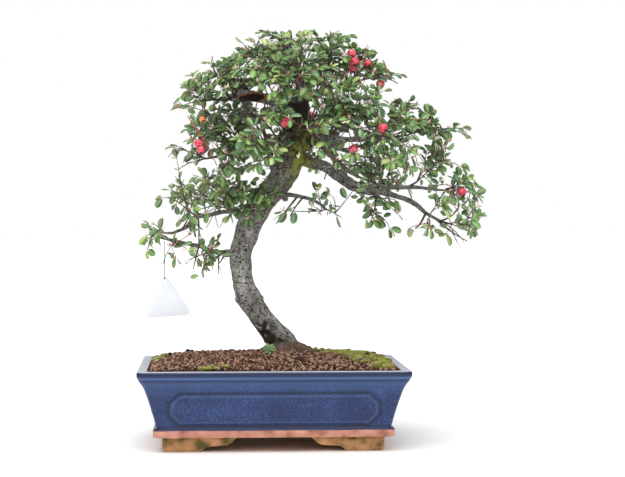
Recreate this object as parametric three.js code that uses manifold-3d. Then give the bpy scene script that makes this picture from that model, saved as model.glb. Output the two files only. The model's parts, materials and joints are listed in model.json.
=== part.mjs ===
// A cotoneaster bonsai in a glazed rectangular pot, in millimetres, +Z up.
// The numbers below are measured from the pot's centre, with z = 0 under its feet.
import * as THREE from "three";
import { mergeVertices } from "three/addons/utils/BufferGeometryUtils.js";
import Module from "manifold-3d";

// Pot: outer half sizes at the lip, which is its widest line, and heights
const LIP_X = 125;
const LIP_Y = 94;
const POT_TOP = 75.4;
const LIP_Z = 71.3;
const RIM_WIDTH = 9.5;
const CORNER_RADIUS = 5;
const BAND_TOP = 22;
const POT_UNDERSIDE = 14;
const FLOOR_TOP = 23;
// How far the concave wall lies inside the lip, as [height, inset]
const WALL_PROFILE = [
  [BAND_TOP, 17.4],
  [32.6, 14.9],
  [47.5, 10.6],
  [59.2, 6.5],
  [66.4, 2.2],
  [LIP_Z, 0],
  [POT_TOP - 1, 0.4],
  [POT_TOP, 1.4],
];
// The room inside the pot, from the floor to above the rim, as [height, inset]
const CAVITY = [
  [FLOOR_TOP, 25.5],
  [32.6, 22.6],
  [47.5, 18.2],
  [59.2, 13.8],
  [68, 10.2],
  [POT_TOP + 1, RIM_WIDTH],
];
const BAND_X = 110.5;
const BAND_Y = 79;
const BAND_EDGE = 1.2;
const FOOT_X = 102.5;
const FOOT_Y = 68;
const FOOT_WALL = 11;
const FOOT_TAPER = 1.5;
// Half of the opening between two feet, as [from the middle, height]
const FRONT_ARCH = [
  [66.5, -1],
  [66.5, 0],
  [62.5, 4.5],
  [43.5, 5.5],
  [33.5, 13.5],
];
const SIDE_ARCH = [
  [38, -1],
  [38, 0],
  [35, 4.5],
  [22, 5.5],
  [14, 13.5],
];
const DRAIN_X = 50;
const DRAIN_RADIUS = 8;
// The raised panels: an elongated octagon that leans with the wall
const PANEL_FRONT_LENGTH = 188;
const PANEL_SIDE_LENGTH = 126;
const PANEL_LOW = 27;
const PANEL_HIGH = 56;
const PANEL_CORNER = 10.5;
const PANEL_PROUD = 1.1;
const PANEL_SUNK = 3;

// Drain screens, which lie on the pot's floor
const SCREEN_SIZE = 26;
const SCREEN_THICKNESS = 1.4;
const SCREEN_HOLE = 8;
const SCREEN_PITCH = 5.5; // from the middle to a hole's middle

const GAP = 0.3; // between pieces that touch

// Soil: the mound's height above the pot's edge
const SOIL_EDGE = 75;
const MOUND_RISE = 11.5;
const TRUNK_RISE = 4;
const TRUNK_RISE_SPREAD = 22;
const GRAIN_RELIEF = 0.9;

// Trunk: centre line and radius, from the stub in the soil to the leader, as [x, y, z, radius]
const TRUNK = [
  [15, 2, 58, 13],
  [13.5, 2, 76, 16],
  [11.1, 1, 91.6, 15],
  [6.4, 0, 99.3, 12.6],
  [-3.2, -1, 110.7, 11.4],
  [-12.7, -2, 124.1, 11.2],
  [-20.4, -2, 135.6, 11.8],
  [-25.6, -2, 148, 10.5],
  [-28.5, -2, 163.2, 10.3],
  [-29.2, -1, 178, 10.9],
  [-26.1, 0, 191.9, 11.3],
  [-18.9, 0, 211.9, 12],
  [-9.5, 0, 227, 12],
  [3.5, 0, 243.4, 12],
  [14.5, 0, 260, 12.4],
  [20.5, 0, 280, 13.4],
  [24.6, 0, 302, 12.6],
  [27.4, 0, 321.7, 8.5],
  [28.3, 0, 338, 4.4],
  [26, 0, 352, 3],
  [21, 0, 366, 2],
];
const TRUNK_SIDES = 8;

// Roots: each leaves the trunk's foot and dives into the soil
const ROOTS = [
  [[14, 2, 90, 8], [30, -3, 88.5, 5.5], [42, -6, 82, 3.2], [50, -8, 72, 2]],
  [[10, 2, 89, 8], [-6, -3, 87, 4.5], [-16, -6, 80, 2.6], [-24, -8, 70, 2]],
  [[12, 0, 89, 8], [9, -16, 86, 4.2], [8, -26, 78, 2.4], [8, -34, 68, 2]],
  [[14, 4, 89, 8], [20, 18, 86, 4.2], [24, 28, 78, 2.4], [28, 36, 68, 2]],
  [[10, 4, 89, 8], [-2, 16, 86, 4], [-10, 24, 78, 2.4], [-16, 30, 68, 2]],
];
const ROOT_SIDES = 4;
const ROOT_CLEARANCE = 0.45;

// Limbs: centre line and radius, as [x, y, z, radius], each starting inside the trunk
const LIMBS = {
  low_left: [[-27, -2, 180, 3], [-41, -5, 181.5, 2.6], [-53, -8, 181, 2.3],
    [-67, -11, 186.5, 2], [-81, -14, 190, 1.8], [-95.5, -16, 193, 1.6], [-103.5, -17, 195.2, 1.3]],
  mid_left: [[-20, -2, 216, 2.8], [-31, -10, 218.5, 2.3], [-46, -17, 219.5, 2.1],
    [-62, -24, 215.8, 2.1], [-72, -28, 214.8, 2.4], [-81, -31, 205, 1.7], [-93, -36, 200, 1.2]],
  right: [[20, 0, 275, 6.5], [34, -4, 268, 5.8], [52, -8, 262, 5.5], [76, -16, 245, 5],
    [90, -20, 240.5, 4.3], [104, -23, 239, 3.7], [131, -29, 229, 2.4], [145, -31, 218, 1.8],
    [157, -33, 211, 1.3]],
  right_fork: [[92, -20, 241, 3.2], [112, -14, 243, 2.5], [134, -6, 243, 1.9], [156, 0, 241, 1.3]],
  right_inner: [[26, 4, 296, 4.8], [40, 10, 290, 4.2], [56, 14, 276, 3.6], [70, 20, 264, 2.7],
    [86, 30, 254, 1.7]],
  right_upper: [[26, 2, 300, 4.4], [46, 8, 292, 3.6], [88, 18, 290, 2.7], [104, 20, 293, 2],
    [121, 22, 292.5, 1.5]],
  low_right: [[8, -4, 236, 2.6], [22, -20, 235, 2], [36, -29, 231, 1.6], [46, -35, 226, 1.2]],
  left: [[18, -2, 286, 3.8], [0, -8, 286, 3.2], [-14, -14, 283, 2.7], [-32, -18, 276, 2.1],
    [-50, -21, 272, 1.5]],
  back_left: [[-22, 2, 204, 3.8], [-28, 24, 216, 3], [-40, 46, 226, 2.2], [-54, 66, 232, 1.5]],
  back: [[8, 2, 250, 4.2], [13, 26, 260, 3.2], [20, 52, 269, 2.3], [25, 72, 274, 1.5]],
  back_right: [[22, 4, 286, 4.4], [40, 30, 288, 3.3], [64, 54, 284, 2.4], [86, 70, 277, 1.5]],
  front: [[20, -2, 282, 4.2], [17, -26, 285, 3.2], [11, -52, 284, 2.2], [5, -70, 280, 1.5]],
  front_right: [[24, -2, 300, 4], [42, -24, 303, 3.2], [64, -46, 300, 2.3], [84, -60, 293, 1.5]],
  upper_left: [[26, 0, 317, 4], [6, -8, 324, 3.1], [-16, -13, 328, 2.3], [-38, -16, 326, 1.5]],
  upper_right: [[28, 0, 324, 3.8], [46, -5, 334, 2.8], [64, -8, 340, 2], [76, -8, 342, 1.5]],
  upper_back: [[28, 2, 320, 3.6], [23, 22, 332, 2.6], [14, 42, 339, 1.6]],
  upper_front: [[28, -2, 328, 3.6], [26, -24, 339, 2.5], [20, -44, 344, 1.6]],
  high_back_left: [[22, 3, 304, 3.8], [-4, 24, 309, 2.8], [-30, 42, 309, 1.7]],
};
const LIMB_SIDES = 4;

// The limb that was sawn off: its centre line, and the slanting cut that faces the front
const SAWN_LIMB = [[24, -4, 316, 5.6], [4, -16, 324, 5.4], [-12, -21, 327.5, 5.2], [-32, -26, 330, 4.8]];
const SAWN_PLANE_Y = -24;
const SAWN_FROM_X = -33;
const SAWN_TO_X = -3;

// Bare twigs that carry no leaves, as [x, y, z, radius]
const BARE_TWIGS = [
  [[-72, -28, 213, 1.6], [-73, -29, 203, 1.2], [-72, -28, 196, 1]],
  [[-68, -27, 215, 1.6], [-75, -31, 228, 1.2], [-77, -33, 240, 0.9]],
  [[144, -31, 218, 1.6], [139, -33, 209, 1.2], [134, -35, 204, 0.9]],
  [[24, -6, 282, 1.6], [34, -9, 272, 1.3], [40, -10, 262, 1.2]],
];

// Leafy sprays: the limb and the place on it, from 0 to 1, and the tips that the spray reaches
const SPRAYS = [
  ["low_left", 1.0, [[-127, -21, 199], [-119, -6, 214], [-116, -42, 189]]],
  ["low_left", 0.4, [[-60, -35, 167], [-74, 13, 174]]],
  ["low_left", 0.72, [[-94, -52, 184]]],
  ["mid_left", 1.0, [[-118, -54, 215], [-108, -64, 196]]],
  ["mid_left", 0.62, [[-103, -36, 238], [-84, -62, 246]]],
  ["mid_left", 0.2, [[-20, -50, 223], [-46, -58, 238]]],
  ["left", 1.0, [[-98, -34, 252], [-104, -20, 282], [-74, -54, 258]]],
  ["left", 0.55, [[-44, -66, 268], [-80, -46, 302], [-34, -58, 292]]],
  ["upper_left", 1.0, [[-98, -20, 312], [-88, -38, 335], [-74, -54, 318]]],
  ["upper_left", 0.5, [[-68, -8, 353], [-52, -44, 360]]],
  ["leader", 0.3, [[-36, -10, 376], [-30, 28, 372]]],
  ["leader", 1.0, [[-12, -14, 393], [15, 4, 396], [6, 30, 388]]],
  ["upper_right", 0.35, [[38, -16, 394], [57, 8, 394], [52, -44, 372]]],
  ["upper_right", 0.75, [[77, -24, 382], [90, 24, 370]]],
  ["upper_right", 1.0, [[105, -10, 366], [121, 4, 344], [97, -46, 351]]],
  ["right_upper", 0.6, [[141, 4, 332], [129, 52, 317.5]]],
  ["right_upper", 1.0, [[162, 26, 316], [183, 16, 298], [158, -18, 300]]],
  ["right_fork", 0.6, [[177, -8, 276], [154, 36, 270], [140, -34, 262]]],
  ["right_fork", 1.0, [[208, 4, 231], [192, -14, 250], [186, 34, 240]]],
  ["right", 1.0, [[186, -38, 198], [199, -24, 215.5]]],
  ["right", 0.86, [[138, -56, 198], [158, -56, 238]]],
  ["right", 0.5, [[90, -50, 204], [110, -60, 224]]],
  ["low_right", 1.0, [[63, -66, 212], [36, -62, 216]]],
  ["front", 1.0, [[-4, -117, 262], [-32, -104, 284], [30, -106, 262]]],
  ["front", 0.55, [[36, -102, 292], [2, -98, 314]]],
  ["front_right", 1.0, [[132, -94, 270], [128, -84, 306], [92, -106, 274]]],
  ["front_right", 0.55, [[98, -94, 322], [62, -98, 312], [68, -88, 338]]],
  ["upper_front", 1.0, [[0, -92, 336], [-28, -72, 348], [30, -90, 340]]],
  ["upper_front", 0.5, [[46, -74, 356], [26, -50, 382], [-6, -52, 374]]],
  ["back_left", 1.0, [[-82, 106, 232], [-102, 82, 250], [-60, 112, 254]]],
  ["back_left", 0.5, [[-72, 46, 258], [-44, 92, 264], [-92, 48, 226]]],
  ["high_back_left", 1.0, [[-84, 70, 298], [-86, 36, 324], [-60, 92, 290]]],
  ["high_back_left", 0.5, [[-48, 62, 346], [-34, 90, 318]]],
  ["back", 1.0, [[32, 122, 270], [-4, 112, 284], [52, 112, 288]]],
  ["back", 0.5, [[66, 100, 306], [14, 98, 318]]],
  ["back_right", 1.0, [[140, 102, 262], [122, 96, 294], [98, 110, 258]]],
  ["back_right", 0.5, [[104, 70, 326], [70, 90, 330]]],
  ["upper_back", 1.0, [[-17, 82, 347.5], [29, 73.5, 361], [51, 59, 357.5]]],
  ["right_inner", 1.0, [[122, 66, 230], [136, 48, 248], [100, 62, 262]]],
];
const STEM_SHARE = 0.2; // of the way to the tips, the branch that belongs to the tree
const STEM_SHORTEST = 4;
const STEM_RADIUS = [1.5, 1.15];
const STEM_SIDES = 3;
const NECK_LENGTH = 4;
const NECK_RADIUS = 1;
const TWIG_LIFT = 0.15; // how far a twig arches upwards, in its own lengths
const TWIG_SWING = 0.15; // and along its stem's direction

// A leafy twig: a thin arched blade whose edge is cut to the rib between its leaves
const RIB_HALF = 0.65;
const RIB_END_HALF = 0.5;
const LEAF_SPACING = 7.1;
const FIRST_LEAF = 5; // from the fork
const LEAF_LENGTH = 15.2;
const LEAF_VARIES = 0.18;
const LEAF_WIDTH = 0.62; // of its length
const LEAF_ANGLE = THREE.MathUtils.degToRad(56);
const LEAF_FOOT_HALF = 0.6;
const LEAF_THICKNESS = 0.75;
const CLEARANCE = 0.45;
const SLIVER = 0.05; // triangles thinner than this, which crossing blades leave, are closed up
// A leaf's right side, tip and left side, as [share of length, share of half width]
const LEAF_EDGE = [
  [0.5, 1],
  [1, 0],
  [0.42, -1],
];
const LEAF_ROOM = 1; // kept round a leaf's midrib and round the line across it
// Leaves face outwards from the crown's middle as well as up
const OUTWARD = 1.3;
const FACING_SCATTER = 2.2;
const CROWN_CENTRE = new THREE.Vector3(35, 0, 262);

// Berries: [name, look, index of the spray that bears them, [x, y, z, radius] for each]
const BERRIES = [
  ["berry_front", "red", 24, [[10, -93, 300, 5]]],
  ["berries_top_right", "red", 13, [[74.4, -28, 368.4, 4.2], [77, -29, 360.8, 4.8], [76, -28, 354, 4]]],
  ["berry_open_calyx", "red", 13, [[90, -22, 360, 4]]],
  ["berry_upper_right", "red", 14, [[103, -15, 341, 4.3]]],
  ["berry_orange_right", "orange", 25, [[94, -85, 302, 3.6]]],
  ["berry_right", "red", 25, [[98, -90, 295, 4.8]]],
  ["berry_hanging", "red", 26, [[72.5, -72, 277, 4.2]]],
  ["berry_far_right", "red", 18, [[181, -14, 238.5, 4.6]]],
  ["berry_orange_left", "orange", 7, [[-65, -50, 305, 3.2]]],
  ["berries_left", "red", 7, [[-69, -56, 282.5, 4.1], [-66.8, -57.5, 276.6, 3.8]]],
  ["berry_unripe", "green", 28, [[47, -77, 329, 3.2]]],
  ["berry_back", "red", 34, [[44, 108, 318, 4.6]]],
];
const BERRY_SIDES = 6;
const SPUR_RADIUS = 0.6;

// Swing tag and the thread that ties it to the lowest left limb
const THREAD_X = -101;
const THREAD_Y = -16.5;
const THREAD_TOP = 192.4;
const THREAD_DIAMETER = 0.8;
const THREAD_STEPS = 16;
const TAG_HEIGHT = 41;
const TAG_HALF_WIDTH = 24;
const TAG_ROUNDING = 4;
const TAG_THICKNESS = 0.9;
const TAG_HOLE = 1.6;
const TAG_HOLE_BELOW_TOP = 7;
const TAG_HOLE_Z = 155;
const TAG_TURN = THREE.MathUtils.degToRad(4.5);

// Seedling in the soil
const SPROUT_AT = [-2.8, -21.4];
const SPROUT_DEPTH = 5;
const SPROUT_HEIGHT = 3;
const SPROUT_LEAVES = 4;
const SPROUT_LEAF = 6;

const wasm = await Module();
wasm.setup();

// A repeatable draw from 0 to 1 for the piece numbered a, b, c.
function chance(a, b, c) {
  const s = Math.sin(a * 12.9898 + b * 78.233 + c * 37.719 + 1) * 43758.5453;
  return s - Math.floor(s);
}

const vec = ([x, y, z]) => new THREE.Vector3(x, y, z);
const UP = new THREE.Vector3(0, 0, 1);

// A closed geometry as a solid that can be joined and cut.
function solid(geometry) {
  const bare = geometry.clone();
  bare.deleteAttribute("normal");
  bare.deleteAttribute("uv");
  const merged = mergeVertices(bare, 1e-4);
  const vertProperties = merged.getAttribute("position").array;
  const triVerts = new Uint32Array(merged.index.array);
  return new wasm.Manifold(new wasm.Mesh({ numProp: 3, vertProperties, triVerts }));
}

function geometryOf(made) {
  const { vertProperties, triVerts } = made.getMesh();
  const geometry = new THREE.BufferGeometry();
  geometry.setAttribute("position", new THREE.BufferAttribute(vertProperties, 3));
  geometry.setIndex(new THREE.BufferAttribute(triVerts, 1));
  geometry.computeVertexNormals();
  return geometry;
}

const join = (solids) => wasm.Manifold.union(solids);

function fromFaces(points, faces) {
  const geometry = new THREE.BufferGeometry().setFromPoints(points);
  geometry.setIndex(faces.flat());
  return geometry;
}

// A closed skin over rings of equally many points, with flat ends. Seen from the last ring,
// the points of each ring run anticlockwise.
function loft(rings) {
  const n = rings[0].length;
  const faces = [];
  for (let r = 0; r + 1 < rings.length; r++)
    for (let i = 0; i < n; i++) {
      const a = r * n + i;
      const b = r * n + ((i + 1) % n);
      faces.push([a, b, b + n], [a, b + n, a + n]);
    }
  const last = (rings.length - 1) * n;
  for (let i = 1; i + 1 < n; i++) {
    faces.push([0, i + 1, i]);
    faces.push([last, last + i, last + i + 1]);
  }
  return fromFaces(rings.flat(), faces);
}

// A tapering tube along points [x, y, z, radius].
function tube(path, sides) {
  const centres = path.map(vec);
  let side = new THREE.Vector3(0.31, 0.83, 0.46);
  const rings = centres.map((centre, i) => {
    const next = centres[Math.min(i + 1, centres.length - 1)];
    const ahead = next.clone().sub(centres[Math.max(i - 1, 0)]).normalize();
    side = side.clone().addScaledVector(ahead, -side.dot(ahead)).normalize();
    const other = ahead.clone().cross(side);
    return Array.from({ length: sides }, (_, j) => {
      const turn = (2 * Math.PI * j) / sides;
      const out = side.clone().multiplyScalar(Math.cos(turn));
      return out.addScaledVector(other, Math.sin(turn)).multiplyScalar(path[i][3]).add(centre);
    });
  });
  return solid(loft(rings));
}

// A rectangle with round corners at height z, anticlockwise from above.
function roundedRing(halfX, halfY, radius, z, steps = 2) {
  const ring = [];
  const corners = [[1, 1], [-1, 1], [-1, -1], [1, -1]];
  corners.forEach(([sx, sy], corner) => {
    for (let i = 0; i <= steps; i++) {
      const turn = ((corner + i / steps) * Math.PI) / 2;
      const x = sx * (halfX - radius) + radius * Math.cos(turn);
      const y = sy * (halfY - radius) + radius * Math.sin(turn);
      ring.push(new THREE.Vector3(x, y, z));
    }
  });
  return ring;
}

// A flat outline [x, y] pushed straight up by the given depth.
function prism(outline, depth) {
  const shape = new THREE.Shape(outline.map(([x, y]) => new THREE.Vector2(x, y)));
  return new THREE.ExtrudeGeometry(shape, { depth, bevelEnabled: false });
}

// Pot

function panelPlate(length) {
  const run = PANEL_HIGH - PANEL_LOW;
  const wallAt = (z) => {
    const i = WALL_PROFILE.findIndex(([height]) => height > z);
    const [z0, inset0] = WALL_PROFILE[i - 1];
    const [z1, inset1] = WALL_PROFILE[i];
    return inset0 + ((inset1 - inset0) * (z - z0)) / (z1 - z0);
  };
  const lean = Math.atan2(wallAt(PANEL_LOW) - wallAt(PANEL_HIGH), run);
  const halfLength = length / 2;
  const halfHeight = run / 2 / Math.cos(lean);
  const c = PANEL_CORNER;
  const outline = [
    [halfLength, halfHeight - c], [halfLength - c, halfHeight],
    [c - halfLength, halfHeight], [-halfLength, halfHeight - c],
    [-halfLength, c - halfHeight], [c - halfLength, -halfHeight],
    [halfLength - c, -halfHeight], [halfLength, c - halfHeight],
  ];
  const plate = prism(outline, PANEL_PROUD + PANEL_SUNK);
  plate.translate(0, 0, -PANEL_SUNK);
  plate.rotateX(Math.PI / 2 + lean);
  const middle = (PANEL_LOW + PANEL_HIGH) / 2;
  return { plate, middle, inset: (wallAt(PANEL_LOW) + wallAt(PANEL_HIGH)) / 2 };
}

// The opening between two feet, as a bar along Y whose section is the mirrored half profile.
function archBar(half, length) {
  const mirrored = half.map(([x, z]) => [-x, z]).reverse();
  const bar = prism([...half, ...mirrored], length);
  bar.rotateX(Math.PI / 2);
  bar.translate(0, length / 2, 0);
  return bar;
}

function pot() {
  const outer = WALL_PROFILE.map(([z, inset]) =>
    roundedRing(LIP_X - inset, LIP_Y - inset, CORNER_RADIUS, z),
  );
  const band = [
    [POT_UNDERSIDE, BAND_EDGE], [POT_UNDERSIDE + BAND_EDGE, 0],
    [BAND_TOP - BAND_EDGE, 0], [BAND_TOP + 0.4, BAND_EDGE],
  ].map(([z, inset]) => roundedRing(BAND_X - inset, BAND_Y - inset, CORNER_RADIUS, z));
  const cavity = CAVITY.map(([z, inset]) =>
    roundedRing(LIP_X - inset, LIP_Y - inset, CORNER_RADIUS, z),
  );
  const feet = [
    roundedRing(FOOT_X - FOOT_TAPER, FOOT_Y - FOOT_TAPER, CORNER_RADIUS, 0),
    roundedRing(FOOT_X, FOOT_Y, CORNER_RADIUS, POT_UNDERSIDE + 0.5),
  ];
  const between = [-1, POT_UNDERSIDE - 0.2].map((z) =>
    roundedRing(FOOT_X - FOOT_WALL, FOOT_Y - FOOT_WALL, 3, z, 1),
  );
  const sideBar = archBar(SIDE_ARCH, 4 * LIP_X).rotateZ(Math.PI / 2);
  const ring = solid(loft(feet))
    .subtract(solid(loft(between)))
    .subtract(solid(archBar(FRONT_ARCH, 4 * LIP_Y)))
    .subtract(solid(sideBar));
  const pieces = [solid(loft(outer)), solid(loft(band)), ring];
  for (const turn of [0, 1, 2, 3]) {
    const onSide = turn % 2 === 1;
    const { plate, middle, inset } = panelPlate(onSide ? PANEL_SIDE_LENGTH : PANEL_FRONT_LENGTH);
    plate.translate(0, inset - (onSide ? LIP_X : LIP_Y), middle);
    plate.rotateZ((turn * Math.PI) / 2);
    pieces.push(solid(plate));
  }
  const drains = [-DRAIN_X, DRAIN_X].map((x) => {
    const drain = new THREE.CylinderGeometry(DRAIN_RADIUS, DRAIN_RADIUS, 40, 12);
    return solid(drain.rotateX(Math.PI / 2).translate(x, 0, BAND_TOP));
  });
  return join(pieces).subtract(solid(loft(cavity))).subtract(join(drains));
}

function drainScreen(x) {
  const sheet = new THREE.BoxGeometry(SCREEN_SIZE, SCREEN_SIZE, SCREEN_THICKNESS);
  const holes = [-1, 1].flatMap((i) =>
    [-1, 1].map((j) => {
      const hole = new THREE.BoxGeometry(SCREEN_HOLE, SCREEN_HOLE, 2 * SCREEN_THICKNESS);
      return solid(hole.translate(i * SCREEN_PITCH, j * SCREEN_PITCH, 0));
    }),
  );
  const screen = solid(sheet).subtract(join(holes));
  return screen.translate(x, 0, FLOOR_TOP + GAP + SCREEN_THICKNESS / 2);
}

// Trunk, limbs and stems

const trunkTop = TRUNK.slice(-5);
const limbPath = (name) => (name === "leader" ? trunkTop : LIMBS[name]);

// The point at a share t of a limb's path, and the direction there.
function onLimb(name, t) {
  const path = limbPath(name);
  const place = t * (path.length - 1);
  const i = Math.min(Math.floor(place), path.length - 2);
  const from = vec(path[i]);
  const ahead = vec(path[i + 1]).sub(from);
  return { point: from.clone().addScaledVector(ahead, place - i), ahead: ahead.normalize() };
}

// Each spray's skeleton: its stem, neck and arching twigs, worked out from its limb and its tips.
function skeletonOf([limb, t, tips], index) {
  const { point: root, ahead } = onLimb(limb, t);
  const ends = tips.map(vec);
  const middle = ends.reduce((sum, end) => sum.add(end), new THREE.Vector3());
  const reach = middle.divideScalar(ends.length).sub(root);
  const stemLength = Math.max(STEM_SHORTEST, STEM_SHARE * reach.length());
  const way = reach.normalize().addScaledVector(ahead, 0.5).normalize();
  const stemEnd = root.clone().addScaledVector(way, stemLength);
  const neckFoot = stemEnd.clone().addScaledVector(way, GAP);
  const fork = neckFoot.clone().addScaledVector(way, NECK_LENGTH - 1);
  const twigs = ends.map((end, k) => {
    const seed = index * 3 + k;
    const length = end.distanceTo(fork);
    const lastLeaf = leafLength(seed, 0);
    const run = length - lastLeaf;
    const bend = fork.clone().lerp(end, (0.5 * run) / length);
    bend.addScaledVector(way, TWIG_SWING * run).addScaledVector(UP, TWIG_LIFT * run);
    const heading = end.clone().sub(bend).normalize();
    const ribEnd = end.clone().addScaledVector(heading, -lastLeaf);
    const curve = new THREE.QuadraticBezierCurve3(fork, bend, ribEnd);
    return { seed, curve, ribLength: curve.getLength() };
  });
  return { index, limb, root, way, stemEnd, neckFoot, twigs };
}

const sprays = SPRAYS.map(skeletonOf);
const at = (p, r) => [p.x, p.y, p.z, r];

function stemOf({ root, way, stemEnd }) {
  const start = root.clone().addScaledVector(way, -1);
  return [at(start, STEM_RADIUS[0]), at(stemEnd, STEM_RADIUS[1])];
}

function twigPath({ curve }) {
  return [0, 0.35, 0.7, 1].map((u) => at(curve.getPoint(u), RIB_HALF));
}

function sawnLimb() {
  const slab = new THREE.BoxGeometry(SAWN_TO_X - SAWN_FROM_X, 30, 60);
  slab.translate((SAWN_TO_X + SAWN_FROM_X) / 2, SAWN_PLANE_Y - 15, 325);
  return tube(SAWN_LIMB, 8).subtract(solid(slab));
}

function tree() {
  const pieces = [tube(TRUNK, TRUNK_SIDES), sawnLimb()];
  for (const root of ROOTS) pieces.push(tube(root, ROOT_SIDES));
  for (const limb of Object.values(LIMBS)) pieces.push(tube(limb, LIMB_SIDES));
  for (const twig of BARE_TWIGS) pieces.push(tube(twig, STEM_SIDES));
  for (const item of sprays) pieces.push(tube(stemOf(item), STEM_SIDES));
  return join(pieces);
}

// Room that is taken: each wooden stretch, leaf and berry as a thick line segment.
const taken = [];

function take(owner, from, to, radius) {
  taken.push({ owner, line: new THREE.Line3(from, to), radius });
}

function takePath(owner, path) {
  for (let i = 0; i + 1 < path.length; i++)
    take(owner, vec(path[i]), vec(path[i + 1]), Math.max(path[i][3], path[i + 1][3]));
}

// The least distance between two line segments, from samples along the first.
function apart(a, b) {
  const samples = 9;
  const on = new THREE.Vector3();
  const near = new THREE.Vector3();
  let least = Infinity;
  for (let i = 0; i < samples; i++) {
    a.at(i / (samples - 1), on);
    b.closestPointToPoint(on, true, near);
    least = Math.min(least, on.distanceTo(near));
  }
  return least;
}

function isClear(owner, from, to, radius) {
  const line = new THREE.Line3(from, to);
  return taken.every(
    (other) => other.owner === owner || apart(line, other.line) > radius + other.radius + CLEARANCE,
  );
}

// Leaves

// A thin plate over corners that are joined by triangles, anticlockwise as seen from above. Each
// corner has its point and the direction of the plate's thickness there. The triangles are the
// same on both faces, and the outline is closed by a band.
function plate(outline, triangles) {
  const n = outline.length;
  const layer = (shift) =>
    outline.map(({ point, normal }) => point.clone().addScaledVector(normal, shift));
  const points = [...layer(-LEAF_THICKNESS / 2), ...layer(LEAF_THICKNESS / 2)];
  const faces = [];
  for (const [a, b, c] of triangles) faces.push([c, b, a], [a + n, b + n, c + n]);
  for (let i = 0; i < n; i++) {
    const j = (i + 1) % n;
    faces.push([i, j, j + n], [i, j + n, i + n]);
  }
  return solid(fromFaces(points, faces));
}

// The triangles of one leaf, whose five corners go from its foot over its tip and back.
const LEAF_FAN = [[0, 1, 2], [0, 2, 4], [2, 3, 4]];

// The triangles of a rib between its right and its left row of corners, both in their order
// along it, so that the strip follows the rib's bends.
function ribStrip(outline, right, left) {
  const triangles = [];
  let r = 0;
  let l = 0;
  while (r + 1 < right.length || l + 1 < left.length) {
    const nextRight = r + 1 < right.length ? outline[right[r + 1]].x : Infinity;
    const nextLeft = l + 1 < left.length ? outline[left[l + 1]].x : Infinity;
    if (nextRight <= nextLeft) triangles.push([right[r], right[++r], left[l]]);
    else triangles.push([right[r], left[l + 1], left[l++]]);
  }
  return triangles;
}

// The corner of a blade that lies x along, y across and lift above a frame on its rib.
function corner({ s, origin, along, across, normal }, x, y, lift = 0) {
  const point = origin.clone().addScaledVector(along, x).addScaledVector(across, y);
  return { x: s + x, y, point: point.addScaledVector(normal, lift), normal };
}

// The corners of one leaf, anticlockwise from the leaf's right-hand side over its tip.
function leafCorners(frame, y, { angle, length, tilt, roll }) {
  const half = (LEAF_WIDTH * length) / 2;
  const cos = Math.cos(angle);
  const sin = Math.sin(angle);
  return LEAF_EDGE.map(([share, width]) => {
    const u = share * length;
    const v = width * half;
    return corner(frame, u * cos + v * sin, y + u * sin - v * cos, tilt * u + roll * v);
  });
}

// The leaf numbered k on a twig, where 0 is the last one.
function leafLength(seed, k) {
  return LEAF_LENGTH * (1 + LEAF_VARIES * (2 * chance(seed, k, 1) - 1));
}

function leafOf(seed, k) {
  const side = k % 2 ? -1 : 1;
  return {
    side,
    angle: k ? side * LEAF_ANGLE : 0,
    length: leafLength(seed, k),
    tilt: 0.35 * chance(seed, k, 2) - 0.25,
    roll: 0.7 * chance(seed, k, 3) - 0.35,
  };
}

// The frame at a share u of a twig: along it, across it, and the way its leaves face, which is
// outwards from the crown and up, with some scatter.
function frameOn({ curve, ribLength, seed }, u) {
  const origin = curve.getPoint(u);
  const along = curve.getTangent(u);
  const facing = curve.getPoint(0.6).sub(CROWN_CENTRE).setLength(OUTWARD).add(UP);
  facing.add(vec([5, 6, 7].map((c) => FACING_SCATTER * (chance(seed, 0, c) - 0.5))));
  const run = curve.getPoint(1).sub(curve.getPoint(0)).normalize();
  facing.addScaledVector(run, -facing.dot(run)).normalize();
  const normal = facing.addScaledVector(along, -facing.dot(along)).normalize();
  return { s: u * ribLength, origin, along, across: normal.clone().cross(along), normal };
}

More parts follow.
